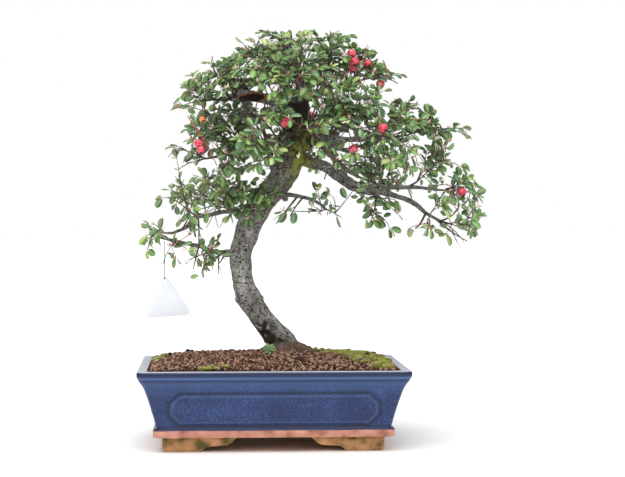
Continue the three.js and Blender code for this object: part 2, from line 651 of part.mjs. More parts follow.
// One leafy twig. A leaf that has no room is left off.
function leafyTwig(twig) {
  const { seed, ribLength } = twig;
  const hasRoom = ({ frame, side, ...leaf }) => {
    const [right, tip, left] = leafCorners(frame, side * RIB_HALF, leaf).map(({ point }) => point);
    const midrib = [frame.origin.clone().lerp(tip, 0.15), tip];
    const lines = [midrib, [right, left]];
    if (!lines.every(([from, to]) => isClear(seed, from, to, LEAF_ROOM))) return false;
    for (const [from, to] of lines) take(seed, from, to, LEAF_ROOM);
    return true;
  };
  const last = { ...leafOf(seed, 0), frame: frameOn(twig, 1) };
  take(seed, last.frame.origin, corner(last.frame, last.length, 0).point, 2 * LEAF_ROOM);
  const count = Math.max(0, Math.round((ribLength - FIRST_LEAF) / LEAF_SPACING));
  const leaves = Array.from({ length: count }, (_, i) => {
    const s = FIRST_LEAF + ((ribLength - FIRST_LEAF) * i) / count;
    return { ...leafOf(seed, i + 1), frame: frameOn(twig, s / ribLength) };
  }).filter(hasRoom);
  const foot = (frame, x, side) => corner(frame, x, side * RIB_HALF);
  const sideCorners = ({ frame, side, ...leaf }) => [
    foot(frame, side * LEAF_FOOT_HALF, side),
    ...leafCorners(frame, side * RIB_HALF, leaf),
    foot(frame, -side * LEAF_FOOT_HALF, side),
  ];
  // One edge of the rib, with a single corner at its middle where it has no leaf.
  const edge = (side) => {
    const blades = leaves.filter((leaf) => leaf.side === side).map(sideCorners);
    return blades.length ? blades : [[foot(frameOn(twig, 0.5), 0, side)]];
  };
  const start = frameOn(twig, 0);
  const tip = [
    corner(last.frame, 0, -RIB_END_HALF),
    ...leafCorners(last.frame, 0, { ...last, tilt: 0 }),
    corner(last.frame, 0, RIB_END_HALF),
  ];
  const groups = [[foot(start, 0, -1)], ...edge(-1), tip, ...edge(1).reverse(), [foot(start, 0, 1)]];
  const outline = groups.flat();
  const firsts = groups.map((_, i) => groups.slice(0, i).flat().length);
  const blades = firsts.filter((_, i) => groups[i].length > 1);
  const fans = blades.flatMap((first) => LEAF_FAN.map((triangle) => triangle.map((k) => first + k)));
  const onRib = groups.flatMap(({ length }, i) => [...new Set([firsts[i], firsts[i] + length - 1])]);
  const rightRow = onRib.filter((i) => outline[i].y < 0);
  const leftRow = onRib.filter((i) => outline[i].y > 0).reverse();
  return plate(outline, [...fans, ...ribStrip(outline, rightRow, leftRow)]);
}

// The largest body of a join, without the loose scraps that crossing blades can leave.
function whole(made) {
  return made.decompose().reduce((most, body) => (body.volume() > most.volume() ? body : most));
}

function spray({ neckFoot, way, twigs }, spurs) {
  const neckEnd = neckFoot.clone().addScaledVector(way, NECK_LENGTH);
  const neck = tube([at(neckFoot, NECK_RADIUS), at(neckEnd, NECK_RADIUS)], 5);
  return whole(join([neck, ...twigs.map(leafyTwig), ...spurs])).simplify(SLIVER);
}

// Berries

// Where a berry's stalk leaves its spray: the nearest of a few points along the twigs.
function spurPath(item, [x, y, z, radius]) {
  const berry = new THREE.Vector3(x, y, z);
  const points = item.twigs.flatMap(({ curve }) => [0.1, 0.3, 0.5, 0.7, 0.9].map((u) => curve.getPoint(u)));
  points.sort((a, b) => a.distanceTo(berry) - b.distanceTo(berry));
  const foot = points[0];
  const away = foot.clone().sub(berry).normalize();
  const head = berry.clone().addScaledVector(away, radius + GAP);
  return [at(foot, SPUR_RADIUS), at(head, SPUR_RADIUS)];
}

// A berry hangs from its stalk: its profile from the calyx at the bottom to the stalk's end.
function berry([x, y, z, radius], away) {
  const profile = [[0, -0.95], [0.78, -0.62], [1, 0.08], [0.68, 0.74], [0, 1]];
  const points = profile.map(([r, h]) => new THREE.Vector2(r * radius, h * radius));
  const ball = new THREE.LatheGeometry(points, BERRY_SIDES);
  ball.applyQuaternion(new THREE.Quaternion().setFromUnitVectors(new THREE.Vector3(0, 1, 0), away));
  return solid(ball.translate(x, y, z));
}

// Soil

function soilHeight(x, y) {
  const acrossX = 1 - Math.abs(x / (LIP_X - RIM_WIDTH)) ** 5;
  const acrossY = 1 - Math.abs(y / (LIP_Y - RIM_WIDTH)) ** 3;
  const [tx, ty] = TRUNK[2];
  const near = Math.exp(-((x - tx) ** 2 + (y - ty) ** 2) / (2 * TRUNK_RISE_SPREAD ** 2));
  return SOIL_EDGE + MOUND_RISE * acrossX * acrossY + TRUNK_RISE * near;
}

// The rounded ring with more points along its straight sides.
function fineRing(halfX, halfY, radius, z) {
  const coarse = roundedRing(halfX, halfY, radius, z);
  return coarse.flatMap((point, i) => {
    const next = coarse[(i + 1) % coarse.length];
    const parts = Math.max(1, Math.round(point.distanceTo(next) / 48));
    return Array.from({ length: parts }, (_, j) => point.clone().lerp(next, j / parts));
  });
}

// A path [x, y, z, radius] made thicker and longer at both ends.
function swollen(path, by) {
  const thick = path.map(([x, y, z, r]) => [x, y, z, r + by]);
  const stretch = (end, inner) => {
    const out = vec(path[end]).sub(vec(path[inner])).setLength(by);
    thick[end] = [...vec(path[end]).add(out).toArray(), path[end][3] + by];
  };
  stretch(0, 1);
  stretch(path.length - 1, path.length - 2);
  return thick;
}

function soil(sproutStem) {
  const inner = CAVITY.slice(0, -1);
  const sides = inner.map(([z, inset], i) =>
    fineRing(
      LIP_X - inset - GAP, LIP_Y - inset - GAP, CORNER_RADIUS, i ? z : FLOOR_TOP + GAP,
    ),
  );
  const edgeX = LIP_X - RIM_WIDTH - 2 * GAP;
  const edgeY = LIP_Y - RIM_WIDTH - 2 * GAP;
  const edge = fineRing(edgeX, edgeY, CORNER_RADIUS, SOIL_EDGE);
  const mound = [0.92, 0.76, 0.56, 0.36, 0.16].map((share, k) =>
    edge.map(({ x, y }, i) => {
      const height = soilHeight(x * share, y * share);
      const grain = GRAIN_RELIEF * (2 * chance(k, i, 0) - 1);
      return new THREE.Vector3(x * share, y * share, height + grain);
    }),
  );
  const rings = [...sides, edge, ...mound];
  const cutters = [tube(swollen(TRUNK.slice(0, 5), ROOT_CLEARANCE), TRUNK_SIDES)];
  for (const root of ROOTS) cutters.push(tube(swollen(root, ROOT_CLEARANCE), ROOT_SIDES));
  cutters.push(tube(swollen(sproutStem, GAP), 6));
  const room = SCREEN_SIZE + 2 * GAP;
  for (const x of [-DRAIN_X, DRAIN_X]) {
    const pocket = new THREE.BoxGeometry(room, room, 2 * (SCREEN_THICKNESS + GAP));
    cutters.push(solid(pocket.translate(x, 0, FLOOR_TOP + GAP)));
  }
  return solid(loft(rings)).subtract(join(cutters));
}

// Seedling

function sproutStem() {
  const [x, y] = SPROUT_AT;
  const ground = soilHeight(x, y);
  return [[x, y, ground - SPROUT_DEPTH, 0.8], [x, y, ground + SPROUT_HEIGHT, 0.8]];
}

function sprout(stem) {
  const top = vec(stem[1]);
  const pieces = [tube(stem, 5)];
  for (let i = 0; i < SPROUT_LEAVES; i++) {
    const turn = (2 * Math.PI * (i + 0.25)) / SPROUT_LEAVES;
    const rise = 0.35 + 0.3 * chance(99, i, 1);
    const along = new THREE.Vector3(Math.cos(turn), Math.sin(turn), rise).normalize();
    const across = UP.clone().cross(along).normalize();
    const normal = along.clone().cross(across);
    const origin = top.clone().setZ(top.z - 1 - 0.9 * (i % 2));
    const frame = { s: 0, origin, along, across, normal };
    const leaf = { angle: 0, length: SPROUT_LEAF, tilt: -0.1, roll: 0 };
    const edge = leafCorners(frame, 0, leaf);
    const ends = [-RIB_END_HALF, RIB_END_HALF].map((y) => corner(frame, 0, y));
    pieces.push(plate([ends[0], ...edge, ends[1]], LEAF_FAN));
  }
  return whole(join(pieces));
}

// Swing tag and thread

function tag() {
  const r = TAG_ROUNDING;
  const corners = [[0, 0], [-TAG_HALF_WIDTH, -TAG_HEIGHT], [TAG_HALF_WIDTH, -TAG_HEIGHT]];
  const points = corners.map(([x, y]) => new THREE.Vector2(x, y));
  const shape = new THREE.Shape();
  points.forEach((corner, i) => {
    const before = points[(i + 2) % 3].clone().sub(corner).setLength(2 * r).add(corner);
    const after = points[(i + 1) % 3].clone().sub(corner).setLength(2 * r).add(corner);
    if (i) shape.lineTo(before.x, before.y);
    else shape.moveTo(before.x, before.y);
    shape.quadraticCurveTo(corner.x, corner.y, after.x, after.y);
  });
  shape.closePath();
  const hole = new THREE.Path().absarc(0, -TAG_HOLE_BELOW_TOP, TAG_HOLE, 0, 2 * Math.PI, true);
  shape.holes.push(hole);
  const card = new THREE.ExtrudeGeometry(shape, {
    depth: TAG_THICKNESS, bevelEnabled: false, curveSegments: 4,
  });
  card.translate(0, TAG_HOLE_BELOW_TOP, -TAG_THICKNESS / 2);
  card.rotateZ(TAG_TURN).rotateX(Math.PI / 2);
  return solid(card.translate(THREAD_X, THREAD_Y, TAG_HOLE_Z));
}

function thread() {
  const front = TAG_THICKNESS / 2 + THREAD_DIAMETER / 2 + 0.35;
  const resting = TAG_HOLE_Z + TAG_HOLE - THREAD_DIAMETER / 2 - GAP;
  const points = [
    [0, THREAD_TOP], [0, THREAD_TOP - 12], [0, THREAD_TOP - 24], [0, TAG_HOLE_Z + 8],
    [-0.8 * front, TAG_HOLE_Z + 5], [-front - 0.3, resting + 1.6], [-front + 0.3, resting + 0.2],
    [0, resting], [1.4, resting - 0.2],
  ].map(([y, z]) => new THREE.Vector3(THREAD_X, THREAD_Y + y, z));
  const round = new THREE.Shape().absarc(0, 0, THREAD_DIAMETER / 2, 0, 2 * Math.PI);
  return solid(
    new THREE.ExtrudeGeometry(round, {
      steps: THREAD_STEPS,
      curveSegments: 4,
      extrudePath: new THREE.CatmullRomCurve3(points),
    }),
  );
}

// The whole object

const MATERIALS = {
  glaze: { color: 0x3a5280, roughness: 0.18, metalness: 0 },
  mesh: { color: 0x2c2c2c, roughness: 0.6, metalness: 0 },
  granules: { color: 0x7a5240, roughness: 0.95, metalness: 0 },
  bark: { color: 0x74716a, roughness: 0.85, metalness: 0 },
  leaf: { color: 0x4f8a3c, roughness: 0.45, metalness: 0 },
  red: { color: 0xc8202c, roughness: 0.3, metalness: 0 },
  orange: { color: 0xd8622e, roughness: 0.35, metalness: 0 },
  green: { color: 0xa9b877, roughness: 0.4, metalness: 0 },
  card: { color: 0xf4f4f4, roughness: 0.5, metalness: 0 },
  string: { color: 0x8a8f94, roughness: 0.8, metalness: 0 },
};

const bonsai = new THREE.Group();
bonsai.name = "cotoneaster_bonsai";

function add(name, made, look) {
  const material = new THREE.MeshStandardMaterial(MATERIALS[look]);
  const mesh = new THREE.Mesh(geometryOf(made), material);
  mesh.name = name;
  bonsai.add(mesh);
  return mesh;
}

const stem = sproutStem();
add("pot", pot(), "glaze");
add("drain_screen_left", drainScreen(-DRAIN_X), "mesh");
add("drain_screen_right", drainScreen(DRAIN_X), "mesh");
add("soil", soil(stem), "granules");
add("ground_sprout", sprout(stem), "leaf");
add("tree", tree(), "bark");

// The wood and the berries take their room first, and then each spray finds its own.
takePath("tree", TRUNK);
takePath("tree", SAWN_LIMB);
for (const path of [...Object.values(LIMBS), ...BARE_TWIGS]) takePath("tree", path);
for (const item of sprays) {
  takePath("tree", stemOf(item));
  for (const twig of item.twigs) takePath(twig.seed, twigPath(twig));
}

const spursBySpray = new Map(sprays.map(({ index }) => [index, []]));
for (const [name, look, index, berries] of BERRIES) {
  const balls = berries.map((place) => {
    const path = spurPath(sprays[index], place);
    takePath(name, path);
    take(name, vec(place), vec(place), place[3]);
    spursBySpray.get(index).push(path);
    return berry(place, vec(path[0]).sub(vec(place)).normalize());
  });
  add(name, join(balls), look);
}
for (const item of sprays) {
  const spurs = spursBySpray.get(item.index).map((path) => tube(path, 4));
  const number = String(item.index + 1).padStart(2, "0");
  add(`spray_${number}_${item.limb}`, spray(item, spurs), "leaf");
}

// The origin is under the middle of the rooted part's box: the tag hangs apart from it.
const box = new THREE.Box3().setFromObject(bonsai);
add("tag", tag(), "card");
add("tag_thread", thread(), "string");
const middle = box.getCenter(new THREE.Vector3());
bonsai.position.set(-middle.x, -middle.y, 0);

export default bonsai;
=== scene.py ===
# %% [markdown]
# # A cotoneaster bonsai in its glazed pot
#
# The real thing is a small tree about 40 cm high. A bare grey trunk leans out of a blue
# glazed pot and bends back into a wide dome of little leaves with a few red berries.
# This lesson dresses a plain solid model of it: every cell makes one piece or one finish.
# Most shapes are surfaces worked out with numpy, because bark, leaves and clay granules
# all follow simple rules that are repeated with a little chance.

# %% The fixed frame
import json

import bpy
import numpy as np
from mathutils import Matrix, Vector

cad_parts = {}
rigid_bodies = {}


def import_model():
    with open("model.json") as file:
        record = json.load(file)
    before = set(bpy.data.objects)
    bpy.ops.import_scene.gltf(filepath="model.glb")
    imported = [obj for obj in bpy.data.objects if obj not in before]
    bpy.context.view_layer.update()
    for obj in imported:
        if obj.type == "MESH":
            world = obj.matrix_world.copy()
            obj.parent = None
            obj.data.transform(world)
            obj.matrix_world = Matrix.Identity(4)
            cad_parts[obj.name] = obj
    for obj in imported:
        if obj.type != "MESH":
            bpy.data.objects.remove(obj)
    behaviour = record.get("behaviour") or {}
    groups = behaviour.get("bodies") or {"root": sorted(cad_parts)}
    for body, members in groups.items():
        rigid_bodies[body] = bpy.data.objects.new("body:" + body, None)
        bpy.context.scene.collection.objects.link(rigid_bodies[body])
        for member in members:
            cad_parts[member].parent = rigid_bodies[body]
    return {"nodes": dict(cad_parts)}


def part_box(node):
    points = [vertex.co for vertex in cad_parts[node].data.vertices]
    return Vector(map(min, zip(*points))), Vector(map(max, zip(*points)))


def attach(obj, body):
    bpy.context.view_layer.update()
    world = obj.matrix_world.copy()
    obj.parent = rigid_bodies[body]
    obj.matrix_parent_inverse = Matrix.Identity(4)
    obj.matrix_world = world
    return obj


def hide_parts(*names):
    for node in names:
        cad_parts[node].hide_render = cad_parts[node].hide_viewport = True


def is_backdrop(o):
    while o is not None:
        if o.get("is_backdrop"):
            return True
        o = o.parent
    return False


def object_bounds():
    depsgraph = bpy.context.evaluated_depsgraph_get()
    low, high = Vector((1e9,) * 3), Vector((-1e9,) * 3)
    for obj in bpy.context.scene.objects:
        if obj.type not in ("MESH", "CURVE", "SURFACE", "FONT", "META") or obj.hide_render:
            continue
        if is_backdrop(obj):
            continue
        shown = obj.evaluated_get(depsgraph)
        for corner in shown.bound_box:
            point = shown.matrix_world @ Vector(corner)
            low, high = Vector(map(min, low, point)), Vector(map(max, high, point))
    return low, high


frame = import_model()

CAD_BOX = [list(corner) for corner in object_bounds()]
MM = 0.001
pot_low, pot_high = (np.array(corner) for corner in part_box("pot"))
# The pot's middle on the floor: all the millimetres below are counted from it
HOME = (pot_low + pot_high) / 2 * [1, 1, 0]
print("pot is", np.round((pot_high - pot_low) / MM, 1), "mm, with its middle at", np.round(HOME, 4))


def placed(points):
    """Millimetres from the pot's middle become metres in the frame: times 0.001, plus the middle."""
    return np.asarray(points, float) * MM + HOME


# %% [markdown]
# ## The eye
#
# A picture only compares with another one if both look from the same place, so the camera
# comes first. A long lens stands 1.64 m in front of the pot, a little to its left, and looks
# almost level: the rim's top shows as a thin sliver.

# %% Camera
LENS, SENSOR = 99.2, 36  # mm
SEES_AS_FAR_AS = 20  # m
EYE = (-58.3, -1643.4, 216.7)
LOOKS_RIGHT, LOOKS_DOWN = 3.4, 0.78  # degrees

camera_data = bpy.data.cameras.new("camera")
camera_data.lens = LENS
camera_data.sensor_width = SENSOR
camera_data.clip_end = SEES_AS_FAR_AS
camera = bpy.data.objects.new("camera", camera_data)
camera.location = placed(EYE)
camera.rotation_euler = np.radians([90 - LOOKS_DOWN, 0, -LOOKS_RIGHT])
bpy.context.scene.collection.objects.link(camera)
bpy.context.scene.camera = camera

# %% [markdown]
# ## Chance that repeats
#
# Nature is irregular, but a script must give the same tree each time. A hash turns whole
# numbers into a fraction that looks random and never changes. Blending the fractions of the
# eight corners of a lattice cell gives smooth noise, which later roughens bark and soil.


# %% Chance and noise
def chance(a, b, c):
    """The fraction left of sin(12.9898 a + 78.233 b + 37.719 c + 1) times 43758.5453."""
    s = np.sin(np.asarray(a) * 12.9898 + b * 78.233 + c * 37.719 + 1) * 43758.5453
    return s - np.floor(s)


def chances(seeds, salt, keys=(0, 1, 2)):
    """Vectors with each part between -0.5 and 0.5, one for each seed and each of three keys."""
    return np.stack([chance(seeds, key, salt) - 0.5 for key in keys], axis=-1)


def lattice(cell, seed):
    """A fraction for each whole-numbered cell: counts times large primes, mixed bit by bit."""
    i, j, k = (cell[..., axis].astype(np.int64) for axis in range(3))
    mixed = (i * 73856093) ^ (j * 19349663) ^ (k * 83492791) ^ (seed * 2654435761)
    mixed = (mixed & 0xFFFFFFFF) * 1274126177 & 0xFFFFFFFF
    mixed = (mixed ^ (mixed >> 15)) * 2246822519 & 0xFFFFFFFF
    return ((mixed ^ (mixed >> 13)) & 0xFFFFFF) / 0xFFFFFF


def noise(points, size, seed):
    """Smooth noise from -1 to 1: the lattice fractions round each point, blended by 3f2 - 2f3."""
    at = np.asarray(points, float) / size
    cell = np.floor(at)
    f = at - cell
    f = f * f * (3 - 2 * f)
    total = 0
    for corner in np.ndindex(2, 2, 2):
        share = np.prod(np.where(corner, f, 1 - f), axis=-1)
        total = total + share * lattice(cell + corner, seed)
    return 2 * total - 1


def bell(offsets, reach):
    """A bell curve: exp(-(offset / reach)^2)."""
    return np.exp(-((offsets / reach) ** 2))


print("chance gives", np.round(chance(np.arange(4), 1, 2), 3), "each time")

# %% [markdown]
# ## Shapes from arrays
#
# Blender takes a mesh fastest as whole arrays: all the points, then all the corners of all the
# faces. Branches, threads and stalks are tubes, and so is the pot in its way: rings of points
# that follow one another. One helper turns rings into faces, and another lays rings along
# many paths at once.


# %% Vectors and curves
def unit(v):
    """Each vector divided by its own length."""
    return v / np.maximum(np.linalg.norm(v, axis=-1, keepdims=True), 1e-12)


def along_line(line):
    """How far along a line of points each point lies."""
    return np.concatenate([[0], np.cumsum(np.linalg.norm(np.diff(line, axis=0), axis=1))])


def spline(rows, step):
    """A Catmull-Rom curve through rows of numbers, cut again into equal steps along x, y, z."""
    rows = np.asarray(rows, float)
    padded = np.vstack([2 * rows[0] - rows[1], rows, 2 * rows[-1] - rows[-2]])
    t = np.linspace(0, 1, 24, endpoint=False)[:, None]
    a, b, c, d = (padded[i : len(padded) - 3 + i, None] for i in range(4))
    fine = b + 0.5 * t * (c - a + t * (2 * a - 5 * b + 4 * c - d + t * (3 * (b - c) + d - a)))
    fine = np.vstack([fine.reshape(-1, rows.shape[1]), rows[-1]])
    run = along_line(fine[:, :3])
    stops = np.linspace(0, run[-1], max(2, round(run[-1] / step) + 1))
    return np.column_stack([np.interp(stops, run, column) for column in fine.T])


def arc(start, middle, end, steps):
    """Quadratic curves: (1-t)^2 start + 2 t (1-t) middle + t^2 end, for many curves at once."""
    t = np.linspace(0, 1, steps)[:, None]
    start, middle, end = (np.asarray(p, float)[..., None, :] for p in (start, middle, end))
    return (1 - t) ** 2 * start + 2 * t * (1 - t) * middle + t * t * end


print("the middle of an arc:", arc([0, 0, 0], [1, 1, 0], [2, 0, 0], 3)[1])


# %% Rings and tubes
def grid_faces(rows, columns, closed=False):
    """The quads of a grid of points. A closed grid joins its last column to its first."""
    i = np.arange(rows - 1)[:, None] * columns
    j = np.arange(columns if closed else columns - 1)
    k = (j + 1) % columns
    return np.stack([i + j, i + k, i + k + columns, i + j + columns], axis=-1).reshape(-1, 4)


def ring_faces(rows, columns):
    """Quads between rings, and a fan at each end to the two points that follow the rings."""
    j = np.arange(columns)
    k = (j + 1) % columns
    last = (rows - 1) * columns
    fans = np.vstack([np.column_stack([k, j, 0 * j + rows * columns]),
                      np.column_stack([last + j, last + k, 0 * j + rows * columns + 1])])
    return [grid_faces(rows, columns, closed=True), fans]


def closed_rings(rings):
    """Points and faces of rings, a row each, with a fan round the middle of the first and last."""
    middles = rings[[0, -1]].mean(axis=1)
    return np.vstack([rings.reshape(-1, 3), middles]), ring_faces(*rings.shape[:2])


def repeated(faces, count, each):
    """The faces of count equal shapes, of each points, that follow one another."""
    return (faces + np.arange(count)[:, None, None] * each).reshape(-1, faces.shape[1])


def tubes(paths, radii, sides):
    """Rings round K paths of n points: centre + radius (cos turn, sin turn) in the plane across
    the path, closed at both ends. radii are one number, one for each point, or K rows."""
    paths = np.asarray(paths, float)
    count, n = paths.shape[:2]
    ahead = unit(np.gradient(paths, axis=1))
    mean = unit(ahead.mean(axis=1))
    across = np.eye(3)[np.argmin(np.abs(mean), axis=1)][:, None]
    side = unit(across - ahead * np.sum(ahead * across, axis=-1, keepdims=True))[:, :, None]
    other = np.cross(ahead, side[:, :, 0])[:, :, None]
    turn = np.linspace(0, 2 * np.pi, sides, endpoint=False)[:, None]
    ring = np.cos(turn) * side + np.sin(turn) * other
    rings = paths[:, :, None] + ring * np.asarray(radii)[..., None, None]
    points = np.concatenate([rings.reshape(count, -1, 3), paths[:, [0, -1]]], axis=1)
    faces = [repeated(f, count, points.shape[1]) for f in ring_faces(n, sides)]
    return points.reshape(-1, 3), faces


def tube_of(path, sides):
    """One closed tube along rows of x, y, z, radius."""
    return tubes(path[None, :, :3], path[None, :, 3], sides)


def stacked(parts):
    """Several (points, faces) made one: each part's faces count on from the points before it."""
    points, faces, base = [], [], 0
    for part_points, part_faces in parts:
        points.append(part_points)
        faces += [f + base for f in part_faces]
        base += len(part_points)
    return np.concatenate(points), faces


print("a tube of two rings of six has", len(tubes([[[0, 0, 0], [0, 0, 9]]], 1, 6)[0]), "points")


# %% Objects and pieces
def with_zeros(values, count, before=0):
    """The values with zeros before and after them, count numbers in all."""
    padded = np.zeros(count)
    padded[before : before + len(values)] = values
    return padded


def shaped(name, points, faces, looks=None, marks=None, uv=None):
    """A smooth object at the origin from points in millimetres and arrays of faces. looks is a
    finish for each array of faces. marks are named numbers on the first points, and 0 on the
    rest. uv is a place on each point."""
    mesh = bpy.data.meshes.new(name)
    corners = np.concatenate([f.ravel() for f in faces]).astype(np.int32)
    sizes = np.concatenate([np.full(len(f), f.shape[1]) for f in faces])
    mesh.vertices.add(len(points))
    mesh.vertices.foreach_set("co", placed(points).astype(np.float32).ravel())
    mesh.loops.add(len(corners))
    mesh.loops.foreach_set("vertex_index", corners)
    mesh.polygons.add(len(sizes))
    starts = np.concatenate([[0], np.cumsum(sizes)[:-1]]).astype(np.int32)
    mesh.polygons.foreach_set("loop_start", starts)
    look = np.repeat(looks or [0] * len(faces), [len(f) for f in faces])
    mesh.polygons.foreach_set("material_index", look.astype(np.int32))
    mesh.polygons.foreach_set("use_smooth", np.ones(len(sizes), bool))
    mesh.update(calc_edges=True)
    for mark, values in (marks or {}).items():
        attribute = mesh.attributes.new(mark, "FLOAT", "POINT")
        attribute.data.foreach_set("value", with_zeros(values, len(points)).astype(np.float32))
    if uv is not None:
        layer = mesh.uv_layers.new(name="UVMap")
        layer.data.foreach_set("uv", np.asarray(uv, np.float32)[corners].ravel())
    made = bpy.data.objects.new(name, mesh)
    bpy.context.scene.collection.objects.link(made)
    return made


def piece(name, shape, finishes, slot, replaces=(), **details):
    """A shape as an object that rides on the part's one body and wears the given finishes."""
    made = shaped(name, *shape, **details)
    for finish in finishes:
        made.data.materials.append(finish)
    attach(made, "root")
    if replaces:
        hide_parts(*replaces)
    return made


def with_modifiers(made):
    """A new mesh: the object's own, as its modifiers leave it."""
    return bpy.data.meshes.new_from_object(made.evaluated_get(bpy.context.evaluated_depsgraph_get()))


print("numbers with zeros round them:", with_zeros([1, 2], 5, before=1))

# %% [markdown]
# ## Finishes from nodes
#
# Each finish is one Principled shader with a few nodes in front of it. The helpers below add a
# node, mix two colours, read a named number from the mesh, and make noise in real millimetres,
# so that every finish reads like a short recipe. A colour is written as the screen shows it.


# %% Shader helpers
def linear(colour):
    """A colour as seen on screen, 0 to 255, as the linear numbers that a shader takes."""
    c = np.array(colour) / 255
    return (*np.where(c <= 0.04045, c / 12.92, ((c + 0.055) / 1.055) ** 2.4).tolist(), 1.0)


class Finish:
    """A material with the node helpers that the recipes use."""

    def __init__(self, name, roughness, specular=0.5, coat=0.0, coat_roughness=0.1):
        self.made = bpy.data.materials.new(name)
        self.made.use_nodes = True
        self.nodes = self.made.node_tree.nodes
        self.shader = self.nodes["Principled BSDF"]
        self.shader.inputs["Roughness"].default_value = roughness
        self.shader.inputs["Specular IOR Level"].default_value = specular
        self.shader.inputs["Coat Weight"].default_value = coat
        self.shader.inputs["Coat Roughness"].default_value = coat_roughness
        self.place = self.node("TexCoord").outputs["Object"]

    def give(self, socket, value):
        """Another node's output is linked to the socket. A number or a colour is set on it."""
        if isinstance(value, bpy.types.NodeSocket):
            self.made.node_tree.links.new(value, socket)
        else:
            socket.default_value = linear(value) if socket.type == "RGBA" else value

    def node(self, kind, inputs=None, **settings):
        """A new node of this kind with its settings made and its input sockets given."""
        made = self.nodes.new(f"ShaderNode{kind}")
        for name, value in settings.items():
            setattr(made, name, value)
        for socket, value in (inputs or {}).items():
            self.give(made.inputs[socket], value)
        return made

    def noise(self, size, detail=2.0, stretch=(1, 1, 1)):
        """Noise of about this size in millimetres, from 0 to 1."""
        place = self.node("Mapping", {"Vector": self.place, "Scale": stretch}).outputs[0]
        made = self.node("TexNoise", {"Vector": place, "Scale": 1000 / size, "Detail": detail})
        return made.outputs["Fac"]

    def mark(self, name):
        """The number of this name that the mesh carries on its points."""
        return self.node("Attribute", attribute_name=name).outputs["Fac"]

    def between(self, value, low, high):
        """0 at low, 1 at high and straight between them. low may be above high."""
        return self.node("MapRange", {"Value": value, "From Min": low, "From Max": high}).outputs[0]

    def height(self):
        """How high the surface point is above the floor, in metres."""
        return self.node("SeparateXYZ", {0: self.place}).outputs["Z"]

    def zone(self, *edges):
        """From 0 to 1 between the first two heights, in mm, and back between the other two."""
        edges = [edge * MM for edge in edges]
        up = self.between(self.height(), *edges[:2])
        return self.times(up, self.between(self.height(), *edges[:1:-1])) if edges[2:] else up

    def math(self, operation, a, b):
        """One operation of this name on two numbers."""
        return self.node("Math", {0: a, 1: b}, operation=operation).outputs[0]

    def times(self, a, b):
        """a times b."""
        return self.math("MULTIPLY", a, b)

    def clamped(self, operation, a, b):
        """A sum or a difference, kept from 0 to 1."""
        return self.node("Math", {0: a, 1: b}, operation=operation, use_clamp=True).outputs[0]

    def blend(self, a, share_a, b, share_b):
        """share_a a + share_b b, kept from 0 to 1."""
        return self.clamped("ADD", self.times(a, share_a), self.times(b, share_b))

    def mix(self, share, a, b):
        """Colour a where share is 0, colour b where it is 1, and both mixed between."""
        return self.node("Mix", {0: share, 6: a, 7: b}, data_type="RGBA").outputs[2]

    def tinted(self, colour, *tints):
        """The colour with others laid over it: each tint is where (a mask), how much, and which."""
        for mask, amount, tint in tints:
            colour = self.mix(mask if amount == 1 else self.times(mask, amount), colour, tint)
        return colour

    def steps(self, value, *stops):
        """A colour for each value. A stop is the value and then red, green and blue."""
        made = self.node("ValToRGB", {0: value})
        ramp = made.color_ramp.elements
        for at, *_ in stops[1:-1]:
            ramp.new(at)
        for element, (at, *colour) in zip(ramp, stops):
            element.position = at
            element.color = linear(colour)
        return made.outputs[0]

    def bump(self, height, depth, strength=1.0):
        """Relief of this depth in millimetres where height is 1."""
        inputs = {"Strength": strength, "Distance": depth * MM, "Height": height}
        return self.node("Bump", inputs).outputs[0]

    def done(self, colour, relief=None, roughness=None):
        """The material with its colour and, where given, its relief and roughness."""
        for socket, value in ("Base Color", colour), ("Normal", relief), ("Roughness", roughness):
            if value is not None:
                self.give(self.shader.inputs[socket], value)
        return self.made


print("the screen's middle grey is linear", round(linear((128, 128, 128))[0], 3))

# %% [markdown]
# ## Pot
#
# The pot is pressed clay: a tray with walls that curve out to a thick lip, a bare band at the
# bottom and feet with arches between them. A ring of columns round a rounded rectangle is
# carried up a profile, which gives the whole body in one grid. On each side the wall swells by
# about a millimetre inside a long eight-cornered outline, and a shallow groove runs round it.

# %% Pot sizes
LIP_X, LIP_Y = 125, 94
CORNER = 5
BAND_X, BAND_Y = 110.5, 79
BAND_TOP = 22.2
UNDERSIDE = 14
FLOOR_TOP = 23
# Height and how far inside the lip: the wall outside, and the room for the soil inside
WALL = [[22.3, 17.4], [32.6, 14.9], [47.5, 10.6], [59.2, 6.5], [66.4, 2.2], [70.6, 0.15], [71.6, 0]]
RIM = [[73.6, 0.1], [74.6, 0.5], [75.2, 1.1], [75.4, 2], [75.4, 5], [75.3, 8.2], [74.9, 9.2], [73.8, 9.8]]
CAVITY = [[68, 10.2], [59.2, 13.8], [47.5, 18.2], [32.6, 22.6], [25, 25], [23.2, 26], [FLOOR_TOP, 28]]
WALL_STEP = 0.95
# How far each ring of the underside lies inside the band, and of the floor inside the lip
UNDERSIDE_RINGS = (78.9, 60, 40, 20, 4, 1.2)
FLOOR_RINGS = (45, 70, 93.9)
PANEL_MIDDLE, PANEL_HALF_HEIGHT = 40.0, 13.0
PANEL_HALF_LENGTHS = (94, 63)  # on the long and on the short sides
PANEL_CORNER = 8.5
PANEL_PROUD, PANEL_EDGE = 1.1, 1.8
GROOVE_DEPTH, GROOVE_AT, GROOVE_WIDTH = 0.35, 2.4, 1.3
UNEVEN, UNEVEN_SIZE = 0.12, 38  # of the pressed wall


